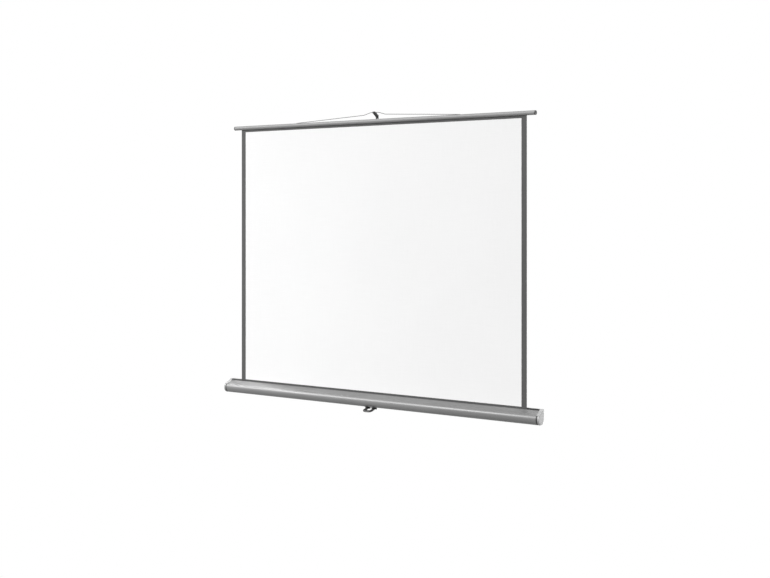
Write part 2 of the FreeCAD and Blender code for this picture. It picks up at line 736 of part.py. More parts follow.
def pull_handle():
    """D handle: two legs with eyes, and a rounded grip that points forwards and down."""
    inner, outer = leg_span()
    front = PIVOT.y - HANDLE_REACH
    bottom = PIVOT.z - HANDLE_T / 2

    def at(x, y):
        return Vector(x, y, bottom)

    inner_front = front + HANDLE_BAR
    inner_r = HANDLE_CORNER_R - HANDLE_BAR
    shape = Part.Face(outline([
        (at(outer, PIVOT.y), 0),
        (at(outer, front), HANDLE_CORNER_R),
        (at(-outer, front), HANDLE_CORNER_R),
        (at(-outer, PIVOT.y), 0),
        (at(-inner, PIVOT.y), 0),
        (at(-inner, inner_front), inner_r),
        (at(inner, inner_front), inner_r),
        (at(inner, PIVOT.y), 0),
    ]))
    grip = shape.extrude(Vector(0, 0, HANDLE_T))
    eye = rod(HANDLE_EYE_R, inner, outer, PIVOT.y, PIVOT.z)
    body = fused([grip, eye, mirrored(eye)])
    body = body.cut(rod(HANDLE_PIN_R + SLIP, -outer, outer, PIVOT.y, PIVOT.z))
    body.rotate(PIVOT, X_AXIS, HANDLE_TILT)
    return body


def write_hanger():
    """Hook, wire and the bar with the cloth's top edge."""
    save("wall_hook", wall_hook())
    save("hanger_wire", hanger_wire())
    save_pair("bail_bracket", bail_bracket())
    save("bail_rivets", bail_rivets())
    save("top_bar", top_bar())
    save_pair("bar_plug", bar_plug())
    save("fabric_welt", fabric_welt())
    save("screen_fabric", screen_fabric())
    save("border_coat", border_coat())


def write_case():
    """Roller case with its ends, lining and handle."""
    save("case_extrusion", case_extrusion())
    save("slot_pile_front", slot_pile_front())
    save("slot_pile_back", slot_pile_back())
    plate = end_plate_blank()
    save("end_plate_left", mirrored(plate).cut(tang(-PLATE_END, -CASE_HALF, SLIP)))
    save("end_plate_right", plate.cut(rod(GUDGEON_BUSH_R + SNUG, CASE_HALF, PLATE_END, ROLLER_Y, ROLLER_Z)))
    save_pair("end_cap", end_cap())
    save("end_cap_screws", end_cap_screws())
    save("handle_bracket", handle_bracket())
    save("handle_screws", handle_screws())
    save("handle_pin", handle_pin())
    save("pull_handle", pull_handle())


def write_roller():
    """Roller, spring and lock inside the case."""
    save("roller_tube", roller_tube())
    save("fabric_wraps", fabric_wraps())
    save("pawl_carrier", pawl_carrier())
    save("idle_plug", idle_plug())
    save("spindle_bush", spindle_bush())
    save("spindle_end_bush", spindle_end_bush())
    save("spring_spindle", spring_spindle())
    save("spindle_collar", spindle_collar())
    save("power_spring", power_spring())
    save("gudgeon_pin", gudgeon_pin())
    save("gudgeon_bush", gudgeon_bush())
    save("ratchet_wheel", ratchet_wheel())
    for name, degrees in PAWL_PLACES.items():
        save(name, pawl(degrees))
    save("pawl_pins", pawl_pins())


os.makedirs("parts", exist_ok=True)
write_hanger()
write_case()
write_roller()
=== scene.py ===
import logging
import math
from collections.abc import Iterator, Mapping, Sequence
from contextlib import contextmanager
from dataclasses import dataclass, field
from enum import Enum

import bmesh
import bpy
import numpy as np
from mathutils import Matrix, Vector
from mathutils.geometry import delaunay_2d_cdt


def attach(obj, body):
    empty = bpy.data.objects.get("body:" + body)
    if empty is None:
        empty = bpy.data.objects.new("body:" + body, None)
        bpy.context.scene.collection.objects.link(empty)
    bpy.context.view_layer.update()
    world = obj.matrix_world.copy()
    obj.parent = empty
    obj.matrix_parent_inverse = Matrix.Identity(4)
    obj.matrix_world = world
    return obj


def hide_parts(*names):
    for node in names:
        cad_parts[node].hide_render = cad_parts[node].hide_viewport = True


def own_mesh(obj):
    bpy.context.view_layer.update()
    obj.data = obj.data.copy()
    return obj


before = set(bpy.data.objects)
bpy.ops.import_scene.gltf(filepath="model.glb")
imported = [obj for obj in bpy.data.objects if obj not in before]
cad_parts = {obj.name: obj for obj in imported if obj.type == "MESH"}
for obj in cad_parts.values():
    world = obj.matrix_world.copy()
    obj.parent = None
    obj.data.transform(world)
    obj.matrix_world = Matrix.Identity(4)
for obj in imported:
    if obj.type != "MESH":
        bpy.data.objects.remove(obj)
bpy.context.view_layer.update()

# Hanging projection screen. Sizes are in millimetres, in the frame of the CAD model: the origin is
# the wall hook's screw hole on the wall, -Y is the side that the picture is seen from, +X is to the
# right from there and +Z is up. Meshes are written in metres. The studio is in metres and watts.

MM = 0.001
TURN = 2 * math.pi
QUARTER = math.pi / 2
Pair = tuple[float, float]
Triple = tuple[float, float, float]
Socket = bpy.types.NodeSocket
Sockets = Mapping[str | int, Socket]
Setting = Socket | float | tuple[float, ...]
log = logging.getLogger("projection_screen")


class Body(Enum):
    """Bodies of the CAD model that pieces ride on."""

    HOOK = "hook"
    HANGER = "hanger"
    BAR = "bar"
    CASE = "case"
    ROLLER = "roller"
    HANDLE = "handle"


class Side(Enum):
    """The two ends of the screen."""

    LEFT = -1
    RIGHT = 1

    @property
    def word(self) -> str:
        """The end's name as it stands in the names of pieces."""
        return self.name.lower()

    def span(self, near: float, far: float) -> Pair:
        """Return two distances from the middle as places on this side, the lower one first."""
        low, high = sorted((self.value * near, self.value * far))
        return low, high


class Axis(Enum):
    """Direction that a section is carried along, with the places of its two own axes."""

    X = (0, 1, 2)
    Y = (1, 0, 2)
    Z = (2, 0, 1)


@dataclass(frozen=True)
class Layout:
    """Places that several sub-assemblies share.

    Sizes of the case's section are measured from the cloth plane and from the top of the front lip.
    """

    cloth_y: float = -42.0
    wire_y: float = -27.0
    bar_r: float = 10.0
    bar_z: float = -14.6
    bar_half: float = 812.0
    cloth_half: float = 775.0
    picture_half: float = 750.0
    white_top: float = -35.6
    white_low: float = -1285.6
    lip_z: float = -1294.1
    case_half: float = 835.0
    plate_end: float = 842.0
    cap_end: float = 850.0
    case_front: float = -49.0
    case_back: float = 8.0
    case_low: float = -59.0
    case_rise: float = 6.0
    lip_front: float = -5.0
    facet_drop: float = -17.5
    facet_r: float = 20.5
    belly_r: float = 27.0
    roller_y: float = -56.12
    roller_z: float = -1324.1
    pivot_back: float = -16.0
    pivot_drop: float = -65.2
    screw_ports: tuple[Pair, ...] = ((-41.2, -20.7), (-38.4, -48.4), (4.0, -14.0))

    @property
    def bar_centre(self) -> np.ndarray:
        """Middle of the bar, as Y and Z."""
        return np.array([self.cloth_y, self.bar_z])

    @property
    def roller_centre(self) -> np.ndarray:
        """Middle of the roller, as Y and Z."""
        return np.array([self.roller_y, self.roller_z])

    @property
    def case_origin(self) -> np.ndarray:
        """Place of the case section's own origin, as Y and Z."""
        return np.array([self.cloth_y, self.lip_z])

    @property
    def ports(self) -> list[np.ndarray]:
        """Middles of the case's screw ports, as Y and Z."""
        return [self.case_origin + np.array(port) for port in self.screw_ports]

    @property
    def pivot(self) -> np.ndarray:
        """Hinge axis of the pull handle, as X, Y and Z."""
        return np.array([0.0, self.cloth_y + self.pivot_back, self.lip_z + self.pivot_drop])


LAYOUT = Layout()


def linear(level: float) -> float:
    """Turn a display grey from 0 to 255 into the linear value that shaders use.

    Args:
        level: Display grey.

    Returns:
        Linear grey from 0 to 1.
    """
    share = level / 255
    return share / 12.92 if share <= 0.04045 else ((share + 0.055) / 1.055) ** 2.4


def grey(level: float) -> tuple[float, float, float, float]:
    """Return an opaque neutral colour of one display grey."""
    return (linear(level),) * 3 + (1.0,)


def unit(vectors: np.ndarray) -> np.ndarray:
    """Scale vectors along the last axis to length one."""
    return vectors / np.linalg.norm(vectors, axis=-1, keepdims=True)


def arc(centre: Sequence[float], radius: float, angle: np.ndarray) -> np.ndarray:
    """Return the points of a circle round a centre at the given angles."""
    return np.array(centre) + radius * np.stack([np.cos(angle), np.sin(angle)], -1)


def circle(centre: Sequence[float], radius: float, sides: int = 40) -> np.ndarray:
    """Return the points of a whole circle round a centre."""
    return arc(centre, radius, np.linspace(0, TURN, sides, endpoint=False))


def rounded(corners: Sequence[Triple], steps: int = 8) -> np.ndarray:
    """Work out an outline whose corners give way to arcs.

    At each corner the arc's centre lies on the bisector, at radius / sin(half angle), and its ends
    touch both sides at radius / tan(half angle) from the corner.

    Args:
        corners: Corner points with their radii, in order. A radius of 0 keeps the corner sharp.
        steps: Divisions of each arc.

    Returns:
        Points of the outline, in the order of the corners.
    """
    table = np.array(corners, float)
    point, radius = table[:, :2], table[:, 2]
    back = unit(np.roll(point, 1, 0) - point)
    ahead = unit(np.roll(point, -1, 0) - point)
    half = np.arccos(np.clip((back * ahead).sum(1), -1, 1)) / 2
    half = np.where(radius > 0, half, 1.0)
    centre = point + unit(back + ahead + 1e-12) * (radius / np.sin(half))[:, None]
    run = (radius / np.tan(half))[:, None]
    start, stop = point + back * run - centre, point + ahead * run - centre
    first = np.arctan2(start[:, 1], start[:, 0])
    sweep = np.arctan2(stop[:, 1], stop[:, 0]) - first
    sweep = (sweep + math.pi) % TURN - math.pi
    angle = first[:, None] + sweep[:, None] * np.linspace(0, 1, steps + 1)
    arcs = centre[:, None] + radius[:, None, None] * np.stack([np.cos(angle), np.sin(angle)], -1)
    arcs = np.where((radius > 0)[:, None, None], arcs, point[:, None])
    keep = (radius > 0)[:, None] | (np.arange(steps + 1) == 0)[None]
    return arcs[keep]


def turned_left(outline: np.ndarray) -> np.ndarray:
    """Turn a closed outline so that its inside is on the left of its run.

    The sign of the sum of the cross products of neighbouring points says which way it runs.

    Args:
        outline: Closed outline.

    Returns:
        The outline, or its points in the opposite order.
    """
    after = np.roll(outline, -1, 0)
    area = (outline[:, 0] * after[:, 1] - after[:, 0] * outline[:, 1]).sum()
    return outline if area > 0 else outline[::-1]


def inset_vectors(outline: np.ndarray) -> np.ndarray:
    """Return the moves that shift every side of a closed outline inwards by one.

    The move is the sum of both sides' inward normals over one plus their product, which is the
    mitre of the two moved sides.

    Args:
        outline: Closed outline with its inside on the left.

    Returns:
        One move for each point.
    """
    ahead = unit(np.roll(outline, -1, 0) - outline)
    normal = np.stack([-ahead[:, 1], ahead[:, 0]], 1)
    before = np.roll(normal, 1, 0)
    return (normal + before) / (1 + (normal * before).sum(1))[:, None]


def carried(flat: np.ndarray, depth: np.ndarray | float, axis: Axis) -> np.ndarray:
    """Put section points at a depth along an axis.

    Args:
        flat: Section points, with their two own axes last.
        depth: Depth of the points along the axis.
        axis: Direction that the section is carried along.

    Returns:
        The points with X, Y and Z last.
    """
    along, first, second = axis.value
    placed = np.empty(flat.shape[:-1] + (3,))
    placed[..., along] = depth
    placed[..., first] = flat[..., 0]
    placed[..., second] = flat[..., 1]
    return placed


def add_object(name: str, data: bpy.types.ID) -> bpy.types.Object:
    """Put an object into the scene.

    Args:
        name: Name of the object.
        data: Its mesh, lamp or lens.

    Returns:
        The new object.
    """
    made = bpy.data.objects.new(name, data)
    bpy.context.scene.collection.objects.link(made)
    return made


@contextmanager
def edited(mesh: bpy.types.Mesh) -> Iterator[bmesh.types.BMesh]:
    """Open a mesh for editing, and write it back at the end of the block.

    Args:
        mesh: Mesh to edit.

    Yields:
        Its form for editing.
    """
    work = bmesh.new()
    work.from_mesh(mesh)
    yield work
    work.to_mesh(mesh)
    work.free()


class Shell:
    """Grids and flat faces of one piece, in millimetres, with a rub share at each point."""

    fill_epsilon = 1e-7
    wire_end_soft = 0.35
    sharp_degrees = 38.0

    def __init__(self) -> None:
        """Start with no points and no faces."""
        self.points: list[np.ndarray] = []
        self.rub: list[np.ndarray] = []
        self.faces: list[list[int]] = []
        self.count = 0

    def add(self, points: np.ndarray, rub: np.ndarray | float = 0.0) -> np.ndarray:
        """Add points and return their numbers in the same layout.

        Args:
            points: Points with X, Y and Z last.
            rub: How much each point is rubbed in use, from 0 to 1.

        Returns:
            Numbers of the new points.
        """
        shape = points.shape[:-1]
        size = int(np.prod(shape))
        self.points.append(points.reshape(-1, 3))
        self.rub.append(np.broadcast_to(rub, shape).reshape(-1).astype(float))
        numbers = np.arange(self.count, self.count + size).reshape(shape)
        self.count += size
        return numbers

    def join(self, numbers: np.ndarray, closed: bool = True) -> None:
        """Lay four-sided faces between neighbouring rows and columns.

        Args:
            numbers: Point numbers of the grid.
            closed: Whether the last column meets the first.
        """
        if closed:
            numbers = np.hstack([numbers, numbers[:, :1]])
        corners = (numbers[:-1, :-1], numbers[1:, :-1], numbers[1:, 1:], numbers[:-1, 1:])
        self.faces += np.stack(corners, -1).reshape(-1, 4).tolist()

    def fan(self, ring: np.ndarray, tip: np.ndarray, rub: float = 0.0) -> None:
        """Close a ring with triangles to one tip.

        Args:
            ring: Point numbers of the ring.
            tip: Place of the tip.
            rub: How much the tip is rubbed in use.
        """
        top = self.add(np.asarray(tip, float).reshape(1, 3), rub)
        tips = np.broadcast_to(top, ring.shape)
        self.faces += np.stack([ring, np.roll(ring, -1), tips], -1).tolist()

    def fill(self, rings: Sequence[np.ndarray], flats: Sequence[np.ndarray]) -> None:
        """Close rings of one plane with triangles, leaving the inner rings open.

        A triangle stays where a line from its centre crosses the rings an odd number of times.

        Args:
            rings: Point numbers of the outer ring and of the holes.
            flats: The same rings in the plane's own axes.
        """
        flat = np.vstack(flats)
        numbers = np.concatenate(rings)
        first = np.arange(len(flat))
        starts = np.cumsum([0] + [len(ring) for ring in flats[:-1]])
        nexts = [np.roll(np.arange(len(ring)), -1) + start for ring, start in zip(flats, starts)]
        second = np.concatenate(nexts)
        edges = np.stack([first, second], 1).tolist()
        made = delaunay_2d_cdt(flat.tolist(), edges, [], 0, self.fill_epsilon, True)
        triangles = np.concatenate(made[3])[np.array(made[2])]
        centre = flat[triangles].mean(1)[:, None]
        a, b = flat[first][None], flat[second][None]
        spans = (a[..., 1] > centre[..., 1]) != (b[..., 1] > centre[..., 1])
        rise = np.where(b[..., 1] == a[..., 1], 1.0, b[..., 1] - a[..., 1])
        reach = a[..., 0] + (b[..., 0] - a[..., 0]) * (centre[..., 1] - a[..., 1]) / rise
        inside = (spans & (centre[..., 0] < reach)).sum(1) % 2 == 1
        self.faces += numbers[triangles[inside]].tolist()

    def carry(
        self, loops: np.ndarray, depth: np.ndarray, axis: Axis, rub: np.ndarray | float = 0.0
    ) -> np.ndarray:
        """Add the wall between closed loops that lie one behind the other.

        Args:
            loops: Points of each loop in the section's own axes.
            depth: Place of each loop along the axis.
            axis: Direction that the loops are carried along.
            rub: How much each loop is rubbed in use.

        Returns:
            Point numbers, a row for each loop.
        """
        numbers = self.add(carried(loops, np.asarray(depth)[:, None], axis), rub)
        self.join(numbers)
        return numbers

    def prism(
        self,
        outline: np.ndarray,
        span: Pair,
        axis: Axis = Axis.X,
        edges: Pair = (0.0, 0.0),
        holes: Sequence[np.ndarray] = (),
        pockets: Sequence[tuple[np.ndarray, float]] = (),
        steps: int = 5,
        squeeze: float = 1.0,
    ) -> None:
        """Carry an outline along an axis as a closed body with rounded rims.

        A rim of radius r is a quarter circle: at angle a the outline stands in by r (1 - sin a),
        times the squeeze, and lies r (1 - cos a) inside the end face.

        Args:
            outline: Closed outline in the section's own axes.
            span: Where the body starts and ends along the axis, the lower place first.
            axis: Direction that the outline is carried along.
            edges: Radii of the rims at the start and at the end.
            holes: Outlines that go right through.
            pockets: Outlines with their depths, sunk into the end face.
            steps: Divisions of each rim.
            squeeze: Width of the rims as a share of their length along the axis.
        """
        outline = turned_left(outline)
        angle = np.linspace(0, QUARTER, steps + 1)
        inset, depth, rub = [], [], []
        for place, radius, sign in zip(span, edges, (1, -1)):
            turn = (angle if radius else angle[-1:])[::sign]
            inset.append(squeeze * radius * (1 - np.sin(turn)))
            depth.append(place + sign * radius * (1 - np.cos(turn)))
            rub.append(np.sin(2 * turn) if radius else np.zeros(1))
        inset, depth, rub = (np.concatenate(part) for part in (inset, depth, rub))
        loops = outline[None] + inset[:, None, None] * inset_vectors(outline)[None]
        rings = self.carry(loops, depth, axis, rub[:, None])
        starts, ends = [rings[0]], [rings[-1]]
        for hole in holes:
            wall = self.carry(np.stack([hole, hole]), np.array(span), axis)
            starts.append(wall[0])
            ends.append(wall[1])
        for pocket, sunk in pockets:
            wall = self.carry(np.stack([pocket, pocket]), np.array([span[1], span[1] - sunk]), axis)
            self.fill([wall[1]], [pocket])
            ends.append(wall[0])
        self.fill(starts, [loops[0], *holes])
        self.fill(ends, [loops[-1], *holes, *(pocket for pocket, _ in pockets)])

    def tube(self, path: np.ndarray, across: np.ndarray, radius: float, sides: int) -> None:
        """Carry a circle along a path as a closed wire.

        At each point the circle lies in the plane of the given cross direction and of its product
        with the path's own direction. The last rings shrink to round the ends.

        Args:
            path: Points of the centre line.
            across: A direction across the path at each point.
            radius: Radius of the wire.
            sides: Points round the wire.
        """
        along = unit(np.gradient(path, axis=0))
        across = unit(across - (across * along).sum(1)[:, None] * along)
        third = np.cross(along, across)
        soft = self.wire_end_soft * radius
        path = np.concatenate([path[:1], path[:1] + soft * along[:1], path[1:-1],
                               path[-1:] - soft * along[-1:], path[-1:]])
        lift = np.concatenate([[radius - soft], np.full(len(path) - 2, radius), [radius - soft]])
        across, third = (np.concatenate([v[:1], v, v[-1:]]) for v in (across, third))
        angle = np.linspace(0, TURN, sides, endpoint=False)[None, :, None]
        ring = np.cos(angle) * across[:, None] + np.sin(angle) * third[:, None]
        numbers = self.add(path[:, None] + lift[:, None, None] * ring)
        self.join(numbers)
        for end in (0, -1):
            self.fan(numbers[end], path[end])

    def lathe(
        self, profile: np.ndarray, axis: Axis, centre: Sequence[float], sides: int = 48, rub: float = 0.0
    ) -> None:
        """Turn a profile about an axis and close both ends with tips on that axis.

        A profile point at (along, out) becomes a circle of radius out at that place on the axis.

        Args:
            profile: Points as distance along the axis and radius.
            axis: Direction of the axis.
            centre: Point on the axis that distances are measured from.
            sides: Points round the axis.
            rub: How much the surface is rubbed in use.
        """
        along = profile[:, 0]
        ring = circle((0.0, 0.0), 1.0, sides)[None] * profile[:, 1][:, None, None]
        numbers = self.add(carried(ring, along[:, None], axis) + np.array(centre), rub)
        self.join(numbers)
        for end in (0, -1):
            self.fan(numbers[end], carried(np.zeros(2), along[end], axis) + np.array(centre), rub)

    def slab(self, front: np.ndarray, back: np.ndarray) -> None:
        """Close two grids of the same layout into a thin sheet with a rim.

        Args:
            front: Points of the front.
            back: Points of the back.
        """
        faces = [self.add(front), self.add(back)]
        for numbers in faces:
            self.join(numbers, closed=False)
        rims = [np.concatenate([n[0, :-1], n[:-1, -1], n[-1, :0:-1], n[:0:-1, 0]]) for n in faces]
        self.join(np.stack(rims))

    def mesh(self, name: str) -> bpy.types.Mesh:
        """Write the gathered faces into a mesh in metres, with outward faces.

        Args:
            name: Name of the mesh.

        Returns:
            The new mesh.
        """
        made = bpy.data.meshes.new(name)
        made.from_pydata(np.concatenate(self.points) * MM, [], self.faces)
        rub = made.attributes.new("rub", "FLOAT", "POINT")
        rub.data.foreach_set("value", np.concatenate(self.rub).astype(np.float32))
        with edited(made) as work:
            bmesh.ops.recalc_face_normals(work, faces=work.faces)
        made.shade_smooth()
        made.set_sharp_from_angle(angle=math.radians(self.sharp_degrees))
        return made


class Wiring:
    """Adds nodes to one shader tree and links them."""

    noise_range: Pair = (0.3, 0.7)

    def __init__(self, tree: bpy.types.NodeTree) -> None:
        """Take the tree that nodes go into."""
        self.tree = tree

    def feed(self, target: Socket, value: Setting) -> None:
        """Link a socket to an input, or set the input to a value.

        Args:
            target: The input.
            value: Socket or value that it takes.
        """
        if isinstance(value, Socket):
            self.tree.links.new(value, target)
        else:
            target.default_value = value

    def node(
        self, kind: str, settings: Mapping[str | int, Setting] | None = None, **traits: object
    ) -> bpy.types.Node:
        """Add one node.

        Args:
            kind: Name of the node type.
            settings: Values or sockets for its inputs, by name or number.
            traits: Values for the node's own properties.

        Returns:
            The new node.
        """
        made = self.tree.nodes.new(kind)
        for trait, value in traits.items():
            setattr(made, trait, value)
        for key, value in (settings or {}).items():
            self.feed(made.inputs[key], value)
        return made

    def math(self, operation: str, first: Setting, second: Setting = 0.0) -> Socket:
        """Return the result of one sum on two values."""
        return self.node("ShaderNodeMath", {0: first, 1: second}, operation=operation).outputs[0]

    def weigh(self, *parts: tuple[Socket, float]) -> Socket:
        """Return the sum of values times their shares.

        Args:
            parts: Values with their shares.

        Returns:
            The weighted sum.
        """
        total, *rest = [self.math("MULTIPLY", value, share) for value, share in parts]
        for term in rest:
            total = self.math("ADD", total, term)
        return total

    def ramp(self, value: Setting, low: Pair = (0.0, 1.0), high: Pair = (0.0, 1.0)) -> Socket:
        """Map a value's range smoothly and within limits onto another range.

        Args:
            value: Value to map.
            low: Start and end of the value's range.
            high: What the start and the end become.

        Returns:
            The mapped value.
        """
        ends = ("From Min", "From Max", "To Min", "To Max")
        settings = {"Value": value, **dict(zip(ends, low + high))}
        return self.node("ShaderNodeMapRange", settings, interpolation_type="SMOOTHSTEP").outputs["Result"]

    def mix(self, share: Setting, first: Setting, second: Setting) -> Socket:
        """Return a colour between two others."""
        return self.node("ShaderNodeMix", {0: share, 6: first, 7: second}, data_type="RGBA").outputs[2]

    def noise(self, place: Socket, scale: Setting, detail: float) -> Socket:
        """Return cloudy noise at a place."""
        settings = {"Vector": place, "Scale": scale, "Detail": detail}
        return self.node("ShaderNodeTexNoise", settings).outputs["Fac"]

    def cloud(self, place: Socket, scale: Setting, detail: float) -> Socket:
        """Return cloudy noise at a place, drawn out to reach from 0 to 1."""
        return self.ramp(self.noise(place, scale, detail), self.noise_range)


class Effects:
    """Shader effects that several finishes share, each built once.

    A noise or cloud is given by its scale and detail, and a range by what becomes 0 and 1.
    """

    line_detail: float = 3.0
    metal_cloud: Pair = (5.0, 4.0)
    grain_detail: float = 2.0
    grain_range: Pair = (0.05, 0.5)
    gloss_cloud: Pair = (60.0, 3.0)
    rub_noise: Pair = (140.0, 5.0)
    rub_range: Pair = (0.42, 0.66)
    rub_shares: Pair = (0.15, 1.0)
    scratch_turn: Triple = (0.5, 0.7, 0.4)
    scratch_scale: Triple = (9.0, 520.0, 90.0)
    scratch_range: Pair = (0.68, 0.76)
    slub_scale: Triple = (9.0, 1.0, 420.0)
    slub_detail: float = 2.0
    slub_range: Pair = (0.7, 1.3)
    stretch_cloud: Pair = (1.7, 2.0)

    def __init__(self) -> None:
        """Build the node groups."""
        self.drawn_lines = self._drawn_lines()
        self.moulded_grain = self._moulded_grain()
        self.handling = self._handling()
        self.weave = self._weave()

    @staticmethod
    def _start(
        name: str, values: Mapping[str, float], results: Sequence[str]
    ) -> tuple[Wiring, Sockets, Sockets]:
        """Start a group with a place input, number inputs and number outputs.

        Args:
            name: Name of the group.
            values: Number inputs with their first values.
            results: Names of the outputs.

        Returns:
            The wiring of the group, what it is given and what it has to work out.
        """
        tree = bpy.data.node_groups.new(name, "ShaderNodeTree")
        tree.interface.new_socket("Place", in_out="INPUT", socket_type="NodeSocketVector")
        for label, value in values.items():
            socket = tree.interface.new_socket(label, in_out="INPUT", socket_type="NodeSocketFloat")
            socket.default_value = value
        for label in results:
            tree.interface.new_socket(label, in_out="OUTPUT", socket_type="NodeSocketFloat")
        wiring = Wiring(tree)
        return wiring, wiring.node("NodeGroupInput").outputs, wiring.node("NodeGroupOutput").inputs

    def _drawn_lines(self) -> bpy.types.NodeTree:
        """Build fine lines along X, as an extrusion die leaves them, and slow cloudy change.

        Returns:
            The node group.
        """
        values = {"Pitch": 900.0, "Length": 3.0}
        wiring, given, result = self._start("drawn_lines", values, ("Lines", "Cloud"))
        parts = wiring.node("ShaderNodeSeparateXYZ", {0: given["Place"]}).outputs
        scales = (given["Length"], given["Pitch"], given["Pitch"])
        stretched = [wiring.math("MULTIPLY", part, scale) for part, scale in zip(parts, scales)]
        along = wiring.node("ShaderNodeCombineXYZ", dict(enumerate(stretched))).outputs[0]
        wiring.feed(result["Lines"], wiring.cloud(along, 1.0, self.line_detail))
        wiring.feed(result["Cloud"], wiring.cloud(given["Place"], *self.metal_cloud))
        return wiring.tree

    def _moulded_grain(self) -> bpy.types.NodeTree:
        """Build the spark-eroded grain of a mould, and slow change of its gloss.

        Returns:
            The node group.
        """
        wiring, given, result = self._start("moulded_grain", {"Scale": 900.0}, ("Grain", "Cloud"))
        place, scale = given["Place"], given["Scale"]
        cells = wiring.node("ShaderNodeTexVoronoi", {"Vector": place, "Scale": scale}, feature="SMOOTH_F1")
        speckle = wiring.noise(place, scale, self.grain_detail)
        grain = wiring.math("MULTIPLY", cells.outputs["Distance"], speckle)
        wiring.feed(result["Grain"], wiring.ramp(grain, self.grain_range))
        wiring.feed(result["Cloud"], wiring.cloud(place, *self.gloss_cloud))
        return wiring.tree

    def _handling(self) -> bpy.types.NodeTree:
        """Build rub on marked edges and a few fine scratches.

        Returns:
            The node group.
        """
        wiring, given, result = self._start("handling", {"Rub": 0.5, "Scratch": 0.3}, ("Worn",))
        place = given["Place"]
        marked = wiring.node("ShaderNodeAttribute", attribute_name="rub").outputs["Fac"]
        broken = wiring.ramp(wiring.noise(place, *self.rub_noise), self.rub_range, self.rub_shares)
        slanted = {"Vector": place, "Rotation": self.scratch_turn, "Scale": self.scratch_scale}
        streak = wiring.noise(wiring.node("ShaderNodeMapping", slanted).outputs[0], 1.0, 1.0)
        rubbed = wiring.math("MULTIPLY", wiring.math("MULTIPLY", marked, broken), given["Rub"])
        scratched = wiring.math("MULTIPLY", wiring.ramp(streak, self.scratch_range), given["Scratch"])
        wiring.feed(result["Worn"], wiring.math("ADD", rubbed, scratched))
        return wiring.tree

    def _weave(self) -> bpy.types.NodeTree:
        """Build a plain weave in the X and Z plane: threads over and under, with uneven threads.

        Returns:
            The node group.
        """
        wiring, given, result = self._start("weave", {"Pitch": 0.0016}, ("Threads", "Slub", "Stretch"))
        place = given["Place"]
        parts = wiring.node("ShaderNodeSeparateXYZ", {0: place}).outputs
        waves, slubs = [], []
        for part, scale in ((0, self.slub_scale), (2, self.slub_scale[::-1])):
            phase = wiring.math("DIVIDE", wiring.math("MULTIPLY", parts[part], math.pi), given["Pitch"])
            waves.append(wiring.math("SINE", phase))
            drawn = wiring.node("ShaderNodeMapping", {"Vector": place, "Scale": scale}).outputs[0]
            slubs.append(wiring.noise(drawn, 1.0, self.slub_detail))
        wiring.feed(result["Threads"], wiring.ramp(wiring.math("MULTIPLY", *waves), (-1.0, 1.0)))
        wiring.feed(result["Slub"], wiring.ramp(wiring.math("ADD", *slubs), self.slub_range))
        wiring.feed(result["Stretch"], wiring.cloud(place, *self.stretch_cloud))
        return wiring.tree


EFFECTS = Effects()


class Surface(Wiring):
    """Wiring of a new material round its Principled shader."""

    bump_strength: float = 0.6

    def __init__(self, name: str, **constants: float) -> None:
        """Start the material.

        Args:
            name: Name of the material.
            constants: Values of shader inputs that are the same all over, with _ for a space.
        """
        made = bpy.data.materials.new(name)
        made.use_nodes = True
        super().__init__(made.node_tree)
        self.shader = made.node_tree.nodes["Principled BSDF"].inputs
        for label, value in constants.items():
            self.shader[label.replace("_", " ")].default_value = value
        self.place = self.node("ShaderNodeTexCoord").outputs["Object"]

    def effect(self, tree: bpy.types.NodeTree, **settings: float) -> Sockets:
        """Place a shared effect in the object's own coordinates and return what it works out."""
        return self.node("ShaderNodeGroup", {"Place": self.place, **settings}, node_tree=tree).outputs

    def close(self, colour: Socket, rough: Socket, height: Socket, depth: float) -> None:
        """Link colour, roughness and bump into the shader.

        Args:
            colour: Base colour.
            rough: Roughness.
            height: Relief from 0 to 1.
            depth: Depth of the relief in metres.
        """
        settings = {"Height": height, "Strength": self.bump_strength, "Distance": depth}
        bump = self.node("ShaderNodeBump", settings).outputs["Normal"]
        for label, value in (("Base Color", colour), ("Roughness", rough), ("Normal", bump)):
            self.feed(self.shader[label], value)


@dataclass(frozen=True)
class Finish:
    """What all finishes have: a name, and a material that is built on first use."""

    name: str

    def material(self) -> bpy.types.Material:
        """Find the finish's material, or build it.

        Returns:
            The material.
        """
        if self.name not in bpy.data.materials:
            self.paint()
        return bpy.data.materials[self.name]

    def paint(self) -> None:
        """Build the material."""
        raise NotImplementedError


@dataclass(frozen=True)
class MetalFinish(Finish):
    """Drawn or extruded metal: lines along its length, clouds and rubbed edges."""

    dark: float
    light: float
    metallic: float
    rough: Pair
    pitch: float = 900.0
    length: float = 3.0
    rub: float = 0.4
    scratch: float = 0.25
    relief: float = 0.00003
    specular: float = 0.5
    shares: Pair = (0.45, 0.55)
    worn_gain: float = 1.25
    worn_limit: float = 245.0

    def paint(self) -> None:
        """Build the metal's material."""
        surface = Surface(self.name, Metallic=self.metallic, Specular_IOR_Level=self.specular)
        drawn = surface.effect(EFFECTS.drawn_lines, Pitch=self.pitch, Length=self.length)
        wear = surface.effect(EFFECTS.handling, Rub=self.rub, Scratch=self.scratch)
        blend = surface.weigh(*zip((drawn["Lines"], drawn["Cloud"]), self.shares))
        body = surface.mix(blend, grey(self.dark), grey(self.light))
        colour = surface.mix(wear["Worn"], body, grey(min(self.light * self.worn_gain, self.worn_limit)))
        surface.close(colour, surface.ramp(blend, high=self.rough), drawn["Lines"], self.relief)


